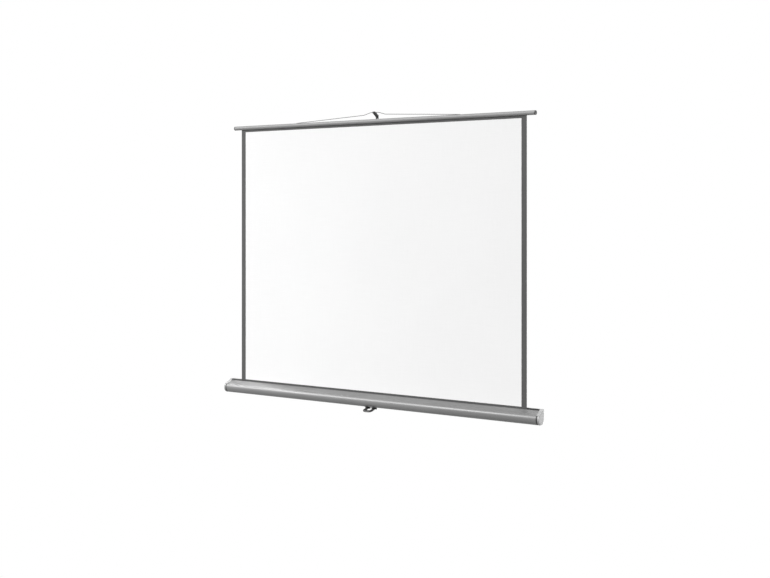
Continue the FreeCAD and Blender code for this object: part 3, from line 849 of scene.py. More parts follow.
@dataclass(frozen=True)
class PlasticFinish(Finish):
    """Moulded plastic: spark grain, uneven gloss, rubbed edges and fine scratches."""

    level: float
    spread: float
    rough: Pair
    rub_level: float
    grain: float = 900.0
    rub: float = 0.5
    scratch: float = 0.2
    relief: float = 0.00006
    ior: float = 1.49
    shares: Pair = (0.6, 0.4)

    def paint(self) -> None:
        """Build the plastic's material."""
        surface = Surface(self.name, Metallic=0.0, IOR=self.ior)
        grain = surface.effect(EFFECTS.moulded_grain, Scale=self.grain)
        wear = surface.effect(EFFECTS.handling, Rub=self.rub, Scratch=self.scratch)
        body = surface.mix(grain["Cloud"], grey(self.level - self.spread), grey(self.level + self.spread))
        colour = surface.mix(wear["Worn"], body, grey(self.rub_level))
        gloss = surface.weigh(*zip((grain["Cloud"], grain["Grain"]), self.shares))
        surface.close(colour, surface.ramp(gloss, high=self.rough), grain["Grain"], self.relief)


@dataclass(frozen=True)
class ClothFinish(Finish):
    """Coated woven cloth: fine threads, slubs and slow change from the stretch."""

    level: float
    spread: float
    rough: Pair
    pitch: float = 0.0016
    relief: float = 0.00004
    sheen: float = 0.0
    specular: float = 0.25
    colour_shares: Triple = (0.3, 0.4, 0.3)
    relief_shares: Pair = (0.6, 0.4)

    def paint(self) -> None:
        """Build the cloth's material."""
        surface = Surface(self.name, Metallic=0.0, Specular_IOR_Level=self.specular, Sheen_Weight=self.sheen)
        weave = surface.effect(EFFECTS.weave, Pitch=self.pitch)
        parts = [weave[label] for label in ("Threads", "Slub", "Stretch")]
        blend = surface.weigh(*zip(parts, self.colour_shares))
        colour = surface.mix(blend, grey(self.level - self.spread), grey(self.level + self.spread))
        height = surface.weigh(*zip(parts, self.relief_shares))
        surface.close(colour, surface.ramp(blend, high=self.rough), height, self.relief)


@dataclass(frozen=True)
class Finishes:
    """Finishes of the screen, named for what they are on."""

    hook: Finish = PlasticFinish("hook_moulding", 24, 4, (0.5, 0.64), 70)
    wire: Finish = MetalFinish(
        "drawn_spring_steel", 50, 68, 0.1, (0.5, 0.6), 2500.0, 12.0, relief=0.000004, specular=0.3)
    bar: Finish = MetalFinish("bar_satin", 134, 146, 0.08, (0.5, 0.6))
    plug: Finish = PlasticFinish("plug_moulding", 62, 8, (0.4, 0.55), 120)
    lug: Finish = MetalFinish("lug_plating", 110, 140, 0.4, (0.4, 0.52), 1400.0, 60.0, relief=0.00001)
    rivet: Finish = MetalFinish("rivet_aluminium", 165, 195, 0.85, (0.3, 0.42), 2000.0, 2000.0)
    cloth: Finish = ClothFinish("matt_white_cloth", 243, 3, (0.82, 0.92))
    backing: Finish = ClothFinish("dark_backing", 70, 8, (0.75, 0.88))
    border: Finish = ClothFinish("border_coat_black", 83, 6, (0.5, 0.62), 0.0016, 0.00002)
    case: Finish = MetalFinish("case_satin", 113, 127, 0.0, (0.38, 0.48), specular=0.65)
    pile: Finish = ClothFinish("slot_pile_black", 70, 12, (0.85, 0.95), 0.0007, 0.0002, 0.3)
    plate: Finish = PlasticFinish("plate_moulding", 48, 6, (0.45, 0.6), 95)
    cap: Finish = PlasticFinish("cap_moulding", 172, 5, (0.4, 0.54), 190)
    screw: Finish = MetalFinish("screw_zinc", 140, 190, 0.9, (0.25, 0.4), 1800.0, 1800.0)
    handle: Finish = PlasticFinish("handle_moulding", 66, 7, (0.3, 0.44), 130)
    bracket: Finish = PlasticFinish("bracket_moulding", 40, 6, (0.4, 0.55), 100)
    steel: Finish = MetalFinish("roller_zinc", 130, 170, 0.9, (0.3, 0.45), 1200.0, 6.0)
    spring: Finish = MetalFinish("winding_spring_steel", 80, 120, 0.9, (0.3, 0.45), 2000.0, 2000.0)
    nylon: Finish = PlasticFinish("nylon_moulding", 205, 8, (0.45, 0.6), 225)


FINISHES = Finishes()


def make_piece(
    shell: Shell,
    name: str,
    body: Body,
    finish: Finish,
    nodes: Sequence[str],
    weighted: bool = True,
) -> bpy.types.Object:
    """Turn a shell into a dressed piece that rides on a body.

    Args:
        shell: Faces of the piece.
        name: Name of the piece.
        body: Body that it moves with.
        finish: Its finish.
        nodes: CAD nodes that it stands for.
        weighted: Whether large faces keep their own direction at rounded rims.

    Returns:
        The new object.
    """
    made = add_object(name, shell.mesh(name))
    made.data.materials.append(finish.material())
    if weighted:
        made.modifiers.new("rim_normals", "WEIGHTED_NORMAL").keep_sharp = True
    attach(made, body.value)
    if nodes:
        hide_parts(*nodes)
    log.info("%s: %d faces", name, len(shell.faces))
    return made


@dataclass(frozen=True)
class Screw:
    """Screw with a low domed head and a cross recess."""

    head_r: float = 2.8
    head_h: float = 1.8
    rim: float = 0.25
    rim_drop: float = 0.55
    dome: float = 0.35
    shank_r: float = 1.4
    point_h: float = 1.2
    point_r: float = 0.3
    tip_h: float = 0.2
    recess_half_width: float = 0.42
    recess_reach: float = 1.75
    recess_depth: float = 1.1
    recess_slope: float = 0.35
    arm_soft: float = 0.16
    reach_soft: float = 0.5
    rub: float = 0.3
    rings: int = 18
    sides: int = 72

    def build(self, shell: Shell, centre: np.ndarray, axis: Axis, sign: float, shank: float) -> None:
        """Add one screw whose head's top is at the centre.

        The top is a polar grid. Its height is a shallow dome, less the recess depth where the
        smaller of both cross distances is inside an arm and the larger is inside its reach.

        Args:
            shell: Shell that takes the screw.
            centre: Middle of the head's top.
            axis: Direction of the screw.
            sign: Which way along the axis the head faces.
            shank: Length of the shank below the head.
        """
        radius = np.linspace(1 / self.rings, 1, self.rings) * (self.head_r - self.rim)
        whole = circle((0.0, 0.0), 1.0, self.sides)[None]
        ring = whole * radius[:, None, None]
        near, far = np.abs(ring).min(-1), np.abs(ring).max(-1)
        arm = np.clip((self.recess_half_width - near) / self.arm_soft + 0.5, 0, 1)
        reach = np.clip((self.recess_reach - far) / self.reach_soft + 0.5, 0, 1)
        sunk = self.recess_depth * arm * reach * (1 - self.recess_slope * far / self.recess_reach)
        top = -self.dome * (radius / self.head_r)[:, None] ** 2 - sunk
        numbers = shell.add(carried(ring, sign * top, axis) + centre, self.rub)
        shell.join(numbers)
        shell.fan(numbers[0], carried(np.zeros(2), -sign * self.recess_depth, axis) + centre)
        end = -self.head_h - shank
        edge = np.array([
            [-self.rim_drop, self.head_r], [-self.head_h, self.head_r], [-self.head_h, self.shank_r],
            [end, self.shank_r], [end - self.point_h, self.point_r],
        ])
        wall = whole * edge[:, 1][:, None, None]
        lower = shell.add(carried(wall, sign * edge[:, :1], axis) + centre)
        shell.join(np.vstack([numbers[-1:], lower]))
        tip = sign * (end - self.point_h - self.tip_h)
        shell.fan(lower[-1], carried(np.zeros(2), tip, axis) + centre)


@dataclass
class WallHook:
    """Black hook that carries the wire: wall plate, arm, seat and tip."""

    half_width: float = 7.0
    rim: float = 0.7
    plate_t: float = 4.0
    hole_r: float = 2.2
    front_chamfer: float = 0.4
    wall_chamfer: float = 0.3
    overrun: Pair = (4.0, 3.0)
    weld: float = 0.01
    corners: tuple[Triple, ...] = (
        (0.0, -8.0, 0.8), (0.0, 19.0, 2.0), (-8.0, 19.0, 5.0), (-21.8, 29.0, 1.2),
        (-24.4, 26.5, 0.8), (-29.6, 26.5, 0.8), (-30.9, 32.0, 1.2), (-34.4, 32.0, 1.2),
        (-34.4, 23.9, 5.0), (-27.0, 21.3, 5.0), (-4.0, 8.0, 5.0), (-4.0, -8.0, 0.8),
    )

    def build(self) -> None:
        """Carry the side view across the hook's width and bore the screw hole."""
        shell = Shell()
        span, edges = (-self.half_width, self.half_width), (self.rim, self.rim)
        shell.prism(rounded(self.corners, steps=10), span, edges=edges)
        hook = make_piece(shell, "hook_body", Body.HOOK, FINISHES.hook, ["wall_hook"])
        self.bore(hook)

    def cutter(self) -> bpy.types.Object:
        """Build the screw hole as a body: a round bore with a narrow chamfer at both ends.

        Returns:
            The body's object.
        """
        front, wide = -self.plate_t, self.hole_r + self.front_chamfer
        wall_wide = self.hole_r + self.wall_chamfer
        profile = np.array([
            [front - self.overrun[0], wide], [front, wide], [front + self.front_chamfer, self.hole_r],
            [-self.wall_chamfer, self.hole_r], [0.0, wall_wide], [self.overrun[1], wall_wide],
        ])
        shell = Shell()
        shell.lathe(profile, Axis.Y, (0.0, 0.0, 0.0))
        return add_object("hole_cutter", shell.mesh("hole_cutter"))

    def bore(self, hook: bpy.types.Object) -> None:
        """Cut the screw hole through the wall plate and weld the rim of the cut.

        Args:
            hook: The hook's object.
        """
        cutter, solid = self.cutter(), hook.data
        cut = hook.modifiers.new("screw_hole", "BOOLEAN")
        cut.object, cut.operation, cut.solver = cutter, "DIFFERENCE", "EXACT"
        normals = hook.modifiers["rim_normals"]
        normals.show_viewport = False
        graph = bpy.context.evaluated_depsgraph_get()
        hook.data = bpy.data.meshes.new_from_object(hook.evaluated_get(graph))
        normals.show_viewport = True
        hook.modifiers.remove(cut)
        bpy.data.objects.remove(cutter)
        bpy.data.meshes.remove(solid)
        hook.data.name = hook.name
        with edited(hook.data) as work:
            bmesh.ops.remove_doubles(work, verts=work.verts, dist=self.weld * MM)
            bmesh.ops.dissolve_degenerate(work, edges=work.edges, dist=self.weld * MM)


@dataclass
class HangerWire:
    """Spring-steel bail with a hump for the hook and pins in the lugs."""

    radius: float = 1.2
    sides: int = 24
    half: tuple[Triple, ...] = (
        (22.0, 28.0, 40.0), (58.0, 17.4, 40.0), (450.0, -3.1, 5.0), (450.0, -14.6, 4.0), (466.0, -14.6, 0.0),
    )

    def build(self) -> None:
        """Carry a circle along the bent line in the plane of the wire."""
        left = [(-x, z, radius) for x, z, radius in reversed(self.half)]
        path = carried(rounded(left + list(self.half), steps=12), LAYOUT.wire_y, Axis.Y)
        shell = Shell()
        shell.tube(path, np.tile([0.0, 1.0, 0.0], (len(path), 1)), self.radius, self.sides)
        make_piece(shell, "hanger_bail", Body.HANGER, FINISHES.wire, ["hanger_wire"])


@dataclass
class TopBar:
    """Slotted tube with end plugs, and the riveted lugs of the wire."""

    wall: float = 1.4
    slot_half: float = 1.2
    tube_points: int = 97
    play: float = 0.02
    plug_head: float = 6.0
    plug_edge: float = 1.5
    plug_stem: float = 14.0
    stem_chamfer: float = 1.0
    dish: tuple[Pair, ...] = ((0.0, 6.4), (-0.2, 6.0), (-0.7, 5.6), (-0.8, 5.2), (-0.8, 0.4))
    plug_points: int = 8
    plug_sides: int = 64
    strap: Pair = (453.0, 472.0)
    strap_t: float = 1.6
    strap_front: float = 5.0
    strap_edges: Pair = (0.35, 0.6)
    strap_rub: float = 0.3
    strap_points: int = 41
    lug: Pair = (456.0, 463.0)
    lug_r: float = 3.6
    lug_root: float = 0.3
    lug_edge: float = 0.5
    lug_points: int = 25
    pin_hole_r: float = 1.26
    rivet_x: float = 468.0
    rivet_z: float = 5.2
    rivet_r: float = 1.4
    rivet_head_r: float = 2.2
    rivet_head_h: float = 0.9
    rivet_brim: float = 0.15
    rivet_crown: float = 0.15
    rivet_rub: float = 0.4
    rivet_points: int = 9
    rivet_sides: int = 32

    def build(self) -> None:
        """Build the tube, plugs, lugs and rivets."""
        self.tube()
        for side in Side:
            self.end_plug(side)
            self.bracket(side)
        self.rivets()

    def tube(self) -> None:
        """Carry an outer and an inner arc, open at the slot below, along the bar."""
        arcs = []
        for radius, order in ((LAYOUT.bar_r, 1), (LAYOUT.bar_r - self.wall, -1)):
            gap = math.asin(self.slot_half / radius)
            angle = np.linspace(gap, TURN - gap, self.tube_points)[::order] - QUARTER
            arcs.append(arc(LAYOUT.bar_centre, radius, angle))
        shell = Shell()
        shell.prism(np.concatenate(arcs), (-LAYOUT.bar_half, LAYOUT.bar_half))
        make_piece(shell, "bar_tube", Body.BAR, FINISHES.bar, ["top_bar"])

    def end_plug(self, side: Side) -> None:
        """Turn one plug: a stem in the tube and a rounded head with a moulded dish.

        Args:
            side: End of the bar.
        """
        radius, edge = LAYOUT.bar_r, self.plug_edge
        stem_r = radius - self.wall - self.play
        stem = np.array([
            [-self.plug_stem, stem_r - self.stem_chamfer], [self.stem_chamfer - self.plug_stem, stem_r],
            [0.0, stem_r], [0.0, radius],
        ])
        rim = arc((self.plug_head - edge, radius - edge), edge, np.linspace(QUARTER, 0, self.plug_points))
        dish = np.array(self.dish) + np.array([self.plug_head, 0.0])
        profile = np.concatenate([stem, rim, dish]) * np.array([side.value, 1])
        shell = Shell()
        shell.lathe(profile, Axis.X, (side.value * LAYOUT.bar_half, *LAYOUT.bar_centre), self.plug_sides)
        name, node = f"bar_end_{side.word}", f"bar_plug_{side.word}"
        make_piece(shell, name, Body.BAR, FINISHES.plug, [node])

    def bracket(self, side: Side) -> None:
        """Build one strap and its lug.

        The strap is a rounded flat section carried along an arc round the bar's back. The lug is a
        tongue with a pin hole, carried across its own width.

        Args:
            side: End of the bar.
        """
        shell = Shell()
        inner = LAYOUT.bar_r + self.play
        outer = inner + self.strap_t
        low, high = self.strap
        inner_r, outer_r = self.strap_edges
        flat = turned_left(rounded([
            (low, inner, inner_r), (high, inner, inner_r), (high, outer, outer_r), (low, outer, outer_r),
        ], steps=4))
        reach = math.acos(self.strap_front / (inner + self.strap_t / 2))
        angle = np.linspace(-reach, reach, self.strap_points)[:, None]
        turned = np.stack([flat[:, 1] * np.cos(angle), flat[:, 1] * np.sin(angle)], -1) + LAYOUT.bar_centre
        numbers = shell.add(carried(turned, side.value * flat[:, 0], Axis.X), self.strap_rub)
        shell.join(numbers)
        for end in (0, -1):
            shell.fill([numbers[end]], [flat])
        root, eye = LAYOUT.cloth_y + inner + self.lug_root, (LAYOUT.wire_y, LAYOUT.bar_z)
        tip = arc(eye, self.lug_r, np.linspace(-QUARTER, QUARTER, self.lug_points))
        tongue = np.concatenate([[[root, tip[0, 1]]], tip, [[root, tip[-1, 1]]]])
        edges = (self.lug_edge, self.lug_edge)
        shell.prism(tongue, side.span(*self.lug), edges=edges, holes=[circle(eye, self.pin_hole_r)])
        name, node = f"bail_lug_{side.word}", f"bail_bracket_{side.word}"
        make_piece(shell, name, Body.BAR, FINISHES.lug, [node])

    def rivets(self) -> None:
        """Turn four rivets with domed heads at the back of the straps."""
        shell = Shell()
        bend = np.linspace(0, QUARTER - self.rivet_crown, self.rivet_points)
        inside = LAYOUT.bar_r - 2 * self.wall
        for x in (-self.rivet_x, self.rivet_x):
            for dz in (-self.rivet_z, self.rivet_z):
                out = math.sqrt((LAYOUT.bar_r + self.play + self.strap_t) ** 2 - dz ** 2) + self.rivet_head_h
                rise = out + self.rivet_brim + (self.rivet_head_h - self.rivet_brim) * np.sin(bend)
                dome = np.stack([rise, self.rivet_head_r * np.cos(bend)], 1)
                shank = np.array([[inside, self.rivet_r], [out, self.rivet_r], [out, self.rivet_head_r]])
                centre = (x, LAYOUT.cloth_y, LAYOUT.bar_z + dz)
                shell.lathe(np.concatenate([shank, dome]), Axis.Y, centre, self.rivet_sides, self.rivet_rub)
        make_piece(shell, "lug_rivets", Body.BAR, FINISHES.rivet, ["bail_rivets"])


@dataclass
class ProjectionCloth:
    """White cloth with its dark border coat, drawn straight by the weight of the case."""

    thickness: float = 0.4
    coat: float = 0.12
    coat_root: float = 0.05
    top: float = -19.82
    coat_top: float = -23.22
    columns: int = 125
    rows: int = 110
    side_columns: int = 7
    strip_rows: int = 6
    foot_rows: int = 12
    ripple: float = 0.5
    ripple_fade: float = 0.4
    waves: tuple[tuple[float, float, float, float], ...] = (
        (0.6, 1 / 610, 0.0, 0.9), (0.4, 1 / 370, 1 / 2900, 2.1),
    )
    curl: float = 0.1
    curl_power: int = 8
    still_low: float = 14.0
    still_high: float = 2.0
    travel: float = 1256.0
    frame_pieces: list[bpy.types.Object] = field(default_factory=list)

    def plane(self, x: np.ndarray, z: np.ndarray) -> np.ndarray:
        """Return the cloth's middle surface as Y.

        Slow ripples and a curl of the side edges, both only towards the wall, times a squared sine
        that brings both to nothing at the bar's slot and at the case's slot. A ripple is a share of
        the sine of so many turns per millimetre across and up the cloth, from a first angle. The curl
        is a high power of the place across.

        Args:
            x: Places across the cloth.
            z: Heights.

        Returns:
            Y of the middle surface.
        """
        low, high = LAYOUT.lip_z + self.still_low, LAYOUT.bar_z - LAYOUT.bar_r - self.still_high
        hang = np.sin(math.pi * np.clip((z - low) / (high - low), 0, 1)) ** 2
        across = x / LAYOUT.cloth_half
        wave = np.zeros_like(x)
        for share, wide, tall, first in self.waves:
            wave += share * np.sin(TURN * (x * wide + z * tall) + first)
        ripple = self.ripple * (0.5 + 0.5 * wave) * (1 - self.ripple_fade * across ** 2)
        return LAYOUT.cloth_y + hang * (ripple + self.curl * across ** self.curl_power)

    def sheet(self, shell: Shell, x: np.ndarray, z: np.ndarray, front: float, back: float) -> None:
        """Add a thin sheet that follows the cloth.

        Args:
            shell: Shell that takes the sheet.
            x: Places of its columns.
            z: Heights of its rows.
            front: Distance of its front from the middle surface.
            back: Distance of its back.
        """
        wide, tall = np.meshgrid(x, z)
        middle = self.plane(wide, tall)
        shell.slab(np.stack([wide, middle - front, tall], -1), np.stack([wide, middle - back, tall], -1))

    def build(self) -> None:
        """Build the cloth and its coat."""
        half = self.thickness / 2
        x = np.linspace(-LAYOUT.cloth_half, LAYOUT.cloth_half, self.columns)
        z = np.linspace(self.top, LAYOUT.roller_z, self.rows)
        shell = Shell()
        self.sheet(shell, x, z, half, -half)
        nodes = ["screen_fabric"]
        cloth = make_piece(shell, "projection_cloth", Body.BAR, FINISHES.cloth, nodes, False)
        self.dress_back(cloth)
        self.border()
        self.wind(cloth)

    def dress_back(self, cloth: bpy.types.Object) -> None:
        """Give the faces that look at the wall the dark backing.

        Args:
            cloth: The cloth's object.
        """
        cloth.data.materials.append(FINISHES.backing.material())
        normals = np.empty(len(cloth.data.polygons) * 3, np.float32)
        cloth.data.polygons.foreach_get("normal", normals)
        behind = normals.reshape(-1, 3)[:, 1] > 0.5
        cloth.data.polygons.foreach_set("material_index", behind.astype(np.int32))

    def border(self) -> None:
        """Lay the coat: a top strip that stays with the bar, and sides and bottom in one piece."""
        front, back = self.thickness / 2 + self.coat, self.thickness / 2 - self.coat_root
        inner, outer = LAYOUT.picture_half, LAYOUT.cloth_half
        across = np.linspace(-inner, inner, self.columns)
        shell = Shell()
        self.sheet(shell, across, np.linspace(self.coat_top, LAYOUT.white_top, self.strip_rows), front, back)
        top = make_piece(shell, "border_top", Body.BAR, FINISHES.border, [], False)
        shell = Shell()
        z = np.linspace(self.coat_top, LAYOUT.roller_z, self.rows)
        for side in Side:
            self.sheet(shell, side.value * np.linspace(inner, outer, self.side_columns), z, front, back)
        foot = np.linspace(LAYOUT.white_low, LAYOUT.roller_z, self.foot_rows)
        self.sheet(shell, across, foot, front, back)
        sides = make_piece(shell, "border_sides", Body.BAR, FINISHES.border, ["border_coat"], False)
        self.wind(sides)
        self.frame_pieces = [top, sides]

    def wind(self, piece: bpy.types.Object) -> None:
        """Give a piece its own copy of its mesh.

        Args:
            piece: Cloth or coat.
        """
        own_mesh(piece)


@dataclass
class RollerCase:
    """Extruded case with its lined slot."""

    wall: float = 1.6
    lip_depth: float = 8.0
    lip_r: float = 0.6
    lip_low_r: float = 0.5
    back_r: float = 0.7
    port_r: float = 3.0
    port_hole_r: float = 1.42
    pile_tip: float = 1.0
    pile_front: Pair = (-6.4, -0.8)
    pile_back: Pair = (2.0, 5.0)
    pile_r: float = 1.1
    pile_tuft: float = 0.3
    pile_waves: Pair = (0.93, 2.17)
    pile_shifts: Pair = (7.0, 11.9)
    pile_steps: int = 900

    def section(self) -> np.ndarray:
        """Work out the wall's section: round the outside from the lip, then back along the inside.

        The inside is the outside moved in by the wall. Under the sloped facet that is the wall times
        the length of the slope for one step of depth.

        Returns:
            Points of the section.
        """
        front, back, low, rise = LAYOUT.case_front, LAYOUT.case_back, LAYOUT.case_low, LAYOUT.case_rise
        lip, belly_r, facet_r = LAYOUT.lip_front, LAYOUT.belly_r, LAYOUT.facet_r
        slope = LAYOUT.facet_drop / (front - lip)
        inner_front, inner_back, inner_low = front + self.wall, back - self.wall, low + self.wall
        behind = lip - self.wall

        def under(y: float) -> float:
            """Return the height of the facet's inner face."""
            return slope * (y - lip) - self.wall * math.hypot(1, slope)

        return rounded([
            (lip, 0.0, self.lip_r), (front, LAYOUT.facet_drop, facet_r),
            (front, low, belly_r), (back, low, belly_r),
            (back, rise, self.back_r), (inner_back, rise, self.back_r),
            (inner_back, inner_low, belly_r - self.wall), (inner_front, inner_low, belly_r - self.wall),
            (inner_front, under(inner_front), facet_r - self.wall), (behind, under(behind), self.lip_r),
            (behind, -self.lip_depth, self.lip_low_r), (lip, -self.lip_depth, self.lip_low_r),
        ], steps=20) + LAYOUT.case_origin

    def build(self) -> None:
        """Build the extrusion with its screw ports, and both linings."""
        shell = Shell()
        span = (-LAYOUT.case_half, LAYOUT.case_half)
        shell.prism(self.section(), span)
        for port in LAYOUT.ports:
            shell.prism(circle(port, self.port_r), span, holes=[circle(port, self.port_hole_r)])
        make_piece(shell, "case_shell", Body.CASE, FINISHES.case, ["case_extrusion"])
        self.lining("front", (LAYOUT.lip_front, -self.pile_tip), self.pile_front)
        self.lining("back", (LAYOUT.case_back - self.wall, self.pile_tip), self.pile_back)

    def lining(self, place: str, depth: Pair, height: Pair) -> None:
        """Build one strip of pile whose free face is uneven.

        The section is a rounded block. Each point stands back from the free face by a sum of sines
        of X with unlike periods, shifted along the section, so that the tips look uneven.

        Args:
            place: Side of the slot, as it stands in the names.
            depth: Fixed face and free face.
            height: Lowest and highest place.
        """
        (root, tip), (low, high) = depth, height
        flat = rounded([
            (root, low, 0.0), (tip, low, self.pile_r), (tip, high, self.pile_r), (root, high, 0.0),
        ], steps=5)
        x = np.linspace(-LAYOUT.case_half, LAYOUT.case_half, self.pile_steps)
        waves = zip(self.pile_waves, self.pile_shifts)
        tufts = 0.5 + 0.25 * sum(np.sin(x[:, None] * wave + flat[:, 1] * shift) for wave, shift in waves)
        free = np.clip((flat[:, 0] - root) / (tip - root), 0, 1) ** 2
        loops = np.repeat(flat[None], self.pile_steps, 0)
        loops[..., 0] -= math.copysign(self.pile_tuft, tip - root) * tufts * free
        shell = Shell()
        numbers = shell.carry(loops + LAYOUT.case_origin, x, Axis.X)
        for end in (0, -1):
            shell.fill([numbers[end]], [loops[end]])
        name, node = f"slot_lining_{place}", f"slot_pile_{place}"
        make_piece(shell, name, Body.CASE, FINISHES.pile, [node], False)


@dataclass
class CaseEnds:
    """Dark plates and pale caps at both ends of the case, with their screws."""

    step_y: float = -6.5
    crest_y: float = -2.5
    crest_r: float = 3.0
    cap_edge: float = 2.0
    cap_squeeze: float = 0.35
    hood_low: float = -17.0
    hood_t: float = 0.9
    hood_root: float = 0.4
    plate_inset: float = 1.0
    plate_edge: float = 0.2
    port_hole_r: float = 1.46
    spindle_hole: Pair = (2.56, 3.06)
    gudgeon_hole_r: float = 5.02
    recess_r: float = 2.86
    recess_play: float = 0.02
    shank: float = 21.0
    screw: Screw = Screw()

    def outline(self, inset: float = 0.0) -> np.ndarray:
        """Return the end's outline, moved inwards.

        Args:
            inset: Distance that every side moves in.

        Returns:
            Points of the outline.
        """
        front, back, low, rise = LAYOUT.case_front, LAYOUT.case_back, LAYOUT.case_low, LAYOUT.case_rise
        step_z = LAYOUT.facet_drop * (self.step_y - LAYOUT.lip_front) / (front - LAYOUT.lip_front)
        flat = rounded([
            (front, LAYOUT.facet_drop, LAYOUT.facet_r),
            (front, low, LAYOUT.belly_r), (back, low, LAYOUT.belly_r),
            (back, rise, self.crest_r), (self.crest_y, rise, self.crest_r),
            (self.step_y, step_z, self.crest_r),
        ], steps=20)
        flat = turned_left(flat) + LAYOUT.case_origin
        return flat + inset * inset_vectors(flat)

    def build(self) -> None:
        """Build plates, caps and screws at both ends."""
        shell = Shell()
        for side in Side:
            self.plate(side)
            self.cap(side)
            for port in LAYOUT.ports:
                centre = carried(port, side.value * LAYOUT.cap_end, Axis.X)
                self.screw.build(shell, centre, Axis.X, side.value, self.shank)
        make_piece(shell, "cap_screws", Body.CASE, FINISHES.screw, ["end_cap_screws"])

    def plate(self, side: Side) -> None:
        """Build one dark plate with its holes for the screws and for the roller.

        Args:
            side: End of the case.
        """
        holes = [circle(port, self.port_hole_r) for port in LAYOUT.ports]
        if side is Side.LEFT:
            corners = np.array([(-1, -1), (1, -1), (1, 1), (-1, 1)])
            holes.append(LAYOUT.roller_centre + corners * np.array(self.spindle_hole))
        else:
            holes.append(circle(LAYOUT.roller_centre, self.gudgeon_hole_r))
        span, edges = side.span(LAYOUT.case_half, LAYOUT.plate_end), (self.plate_edge, self.plate_edge)
        shell = Shell()
        shell.prism(self.outline(self.plate_inset), span, edges=edges, holes=holes, steps=3)
        name, node = f"case_plate_{side.word}", f"end_plate_{side.word}"
        make_piece(shell, name, Body.CASE, FINISHES.plate, [node])

    def cap(self, side: Side) -> None:
        """Build one cap: a body with a rounded rim and sunk screws, and a hood over the plate.

        The hood is a thin strip along the upper part of the outline. The left cap is the mirror
        image of the right one.

        Args:
            side: End of the case.
        """
        outer, inner = self.outline(), self.outline(self.hood_t)
        sunk = self.screw.head_h + self.recess_play
        pockets = [(circle(port, self.recess_r), sunk) for port in LAYOUT.ports]
        span, edges = (LAYOUT.plate_end, LAYOUT.cap_end), (0.0, self.cap_edge)
        shell = Shell()
        shell.prism(outer, span, edges=edges, pockets=pockets, steps=8, squeeze=self.cap_squeeze)
        upper = outer[:, 1] > LAYOUT.lip_z + self.hood_low
        start = int(np.argmax(upper & ~np.roll(upper, 1)))
        strip = np.roll(np.arange(len(outer)), -start)[: int(upper.sum())]
        near, far = LAYOUT.case_half, LAYOUT.plate_end + self.hood_root
        corners = ((outer, far), (outer, near), (inner, near), (inner, far))
        numbers = shell.add(np.stack([carried(flat[strip], x, Axis.X) for flat, x in corners], 1))
        shell.join(numbers)
        shell.faces += numbers[[0, -1]].tolist()
        shell.points = [points * np.array([side.value, 1, 1]) for points in shell.points]
        name, node = f"case_cap_{side.word}", f"end_cap_{side.word}"
        make_piece(shell, name, Body.CASE, FINISHES.cap, [node])


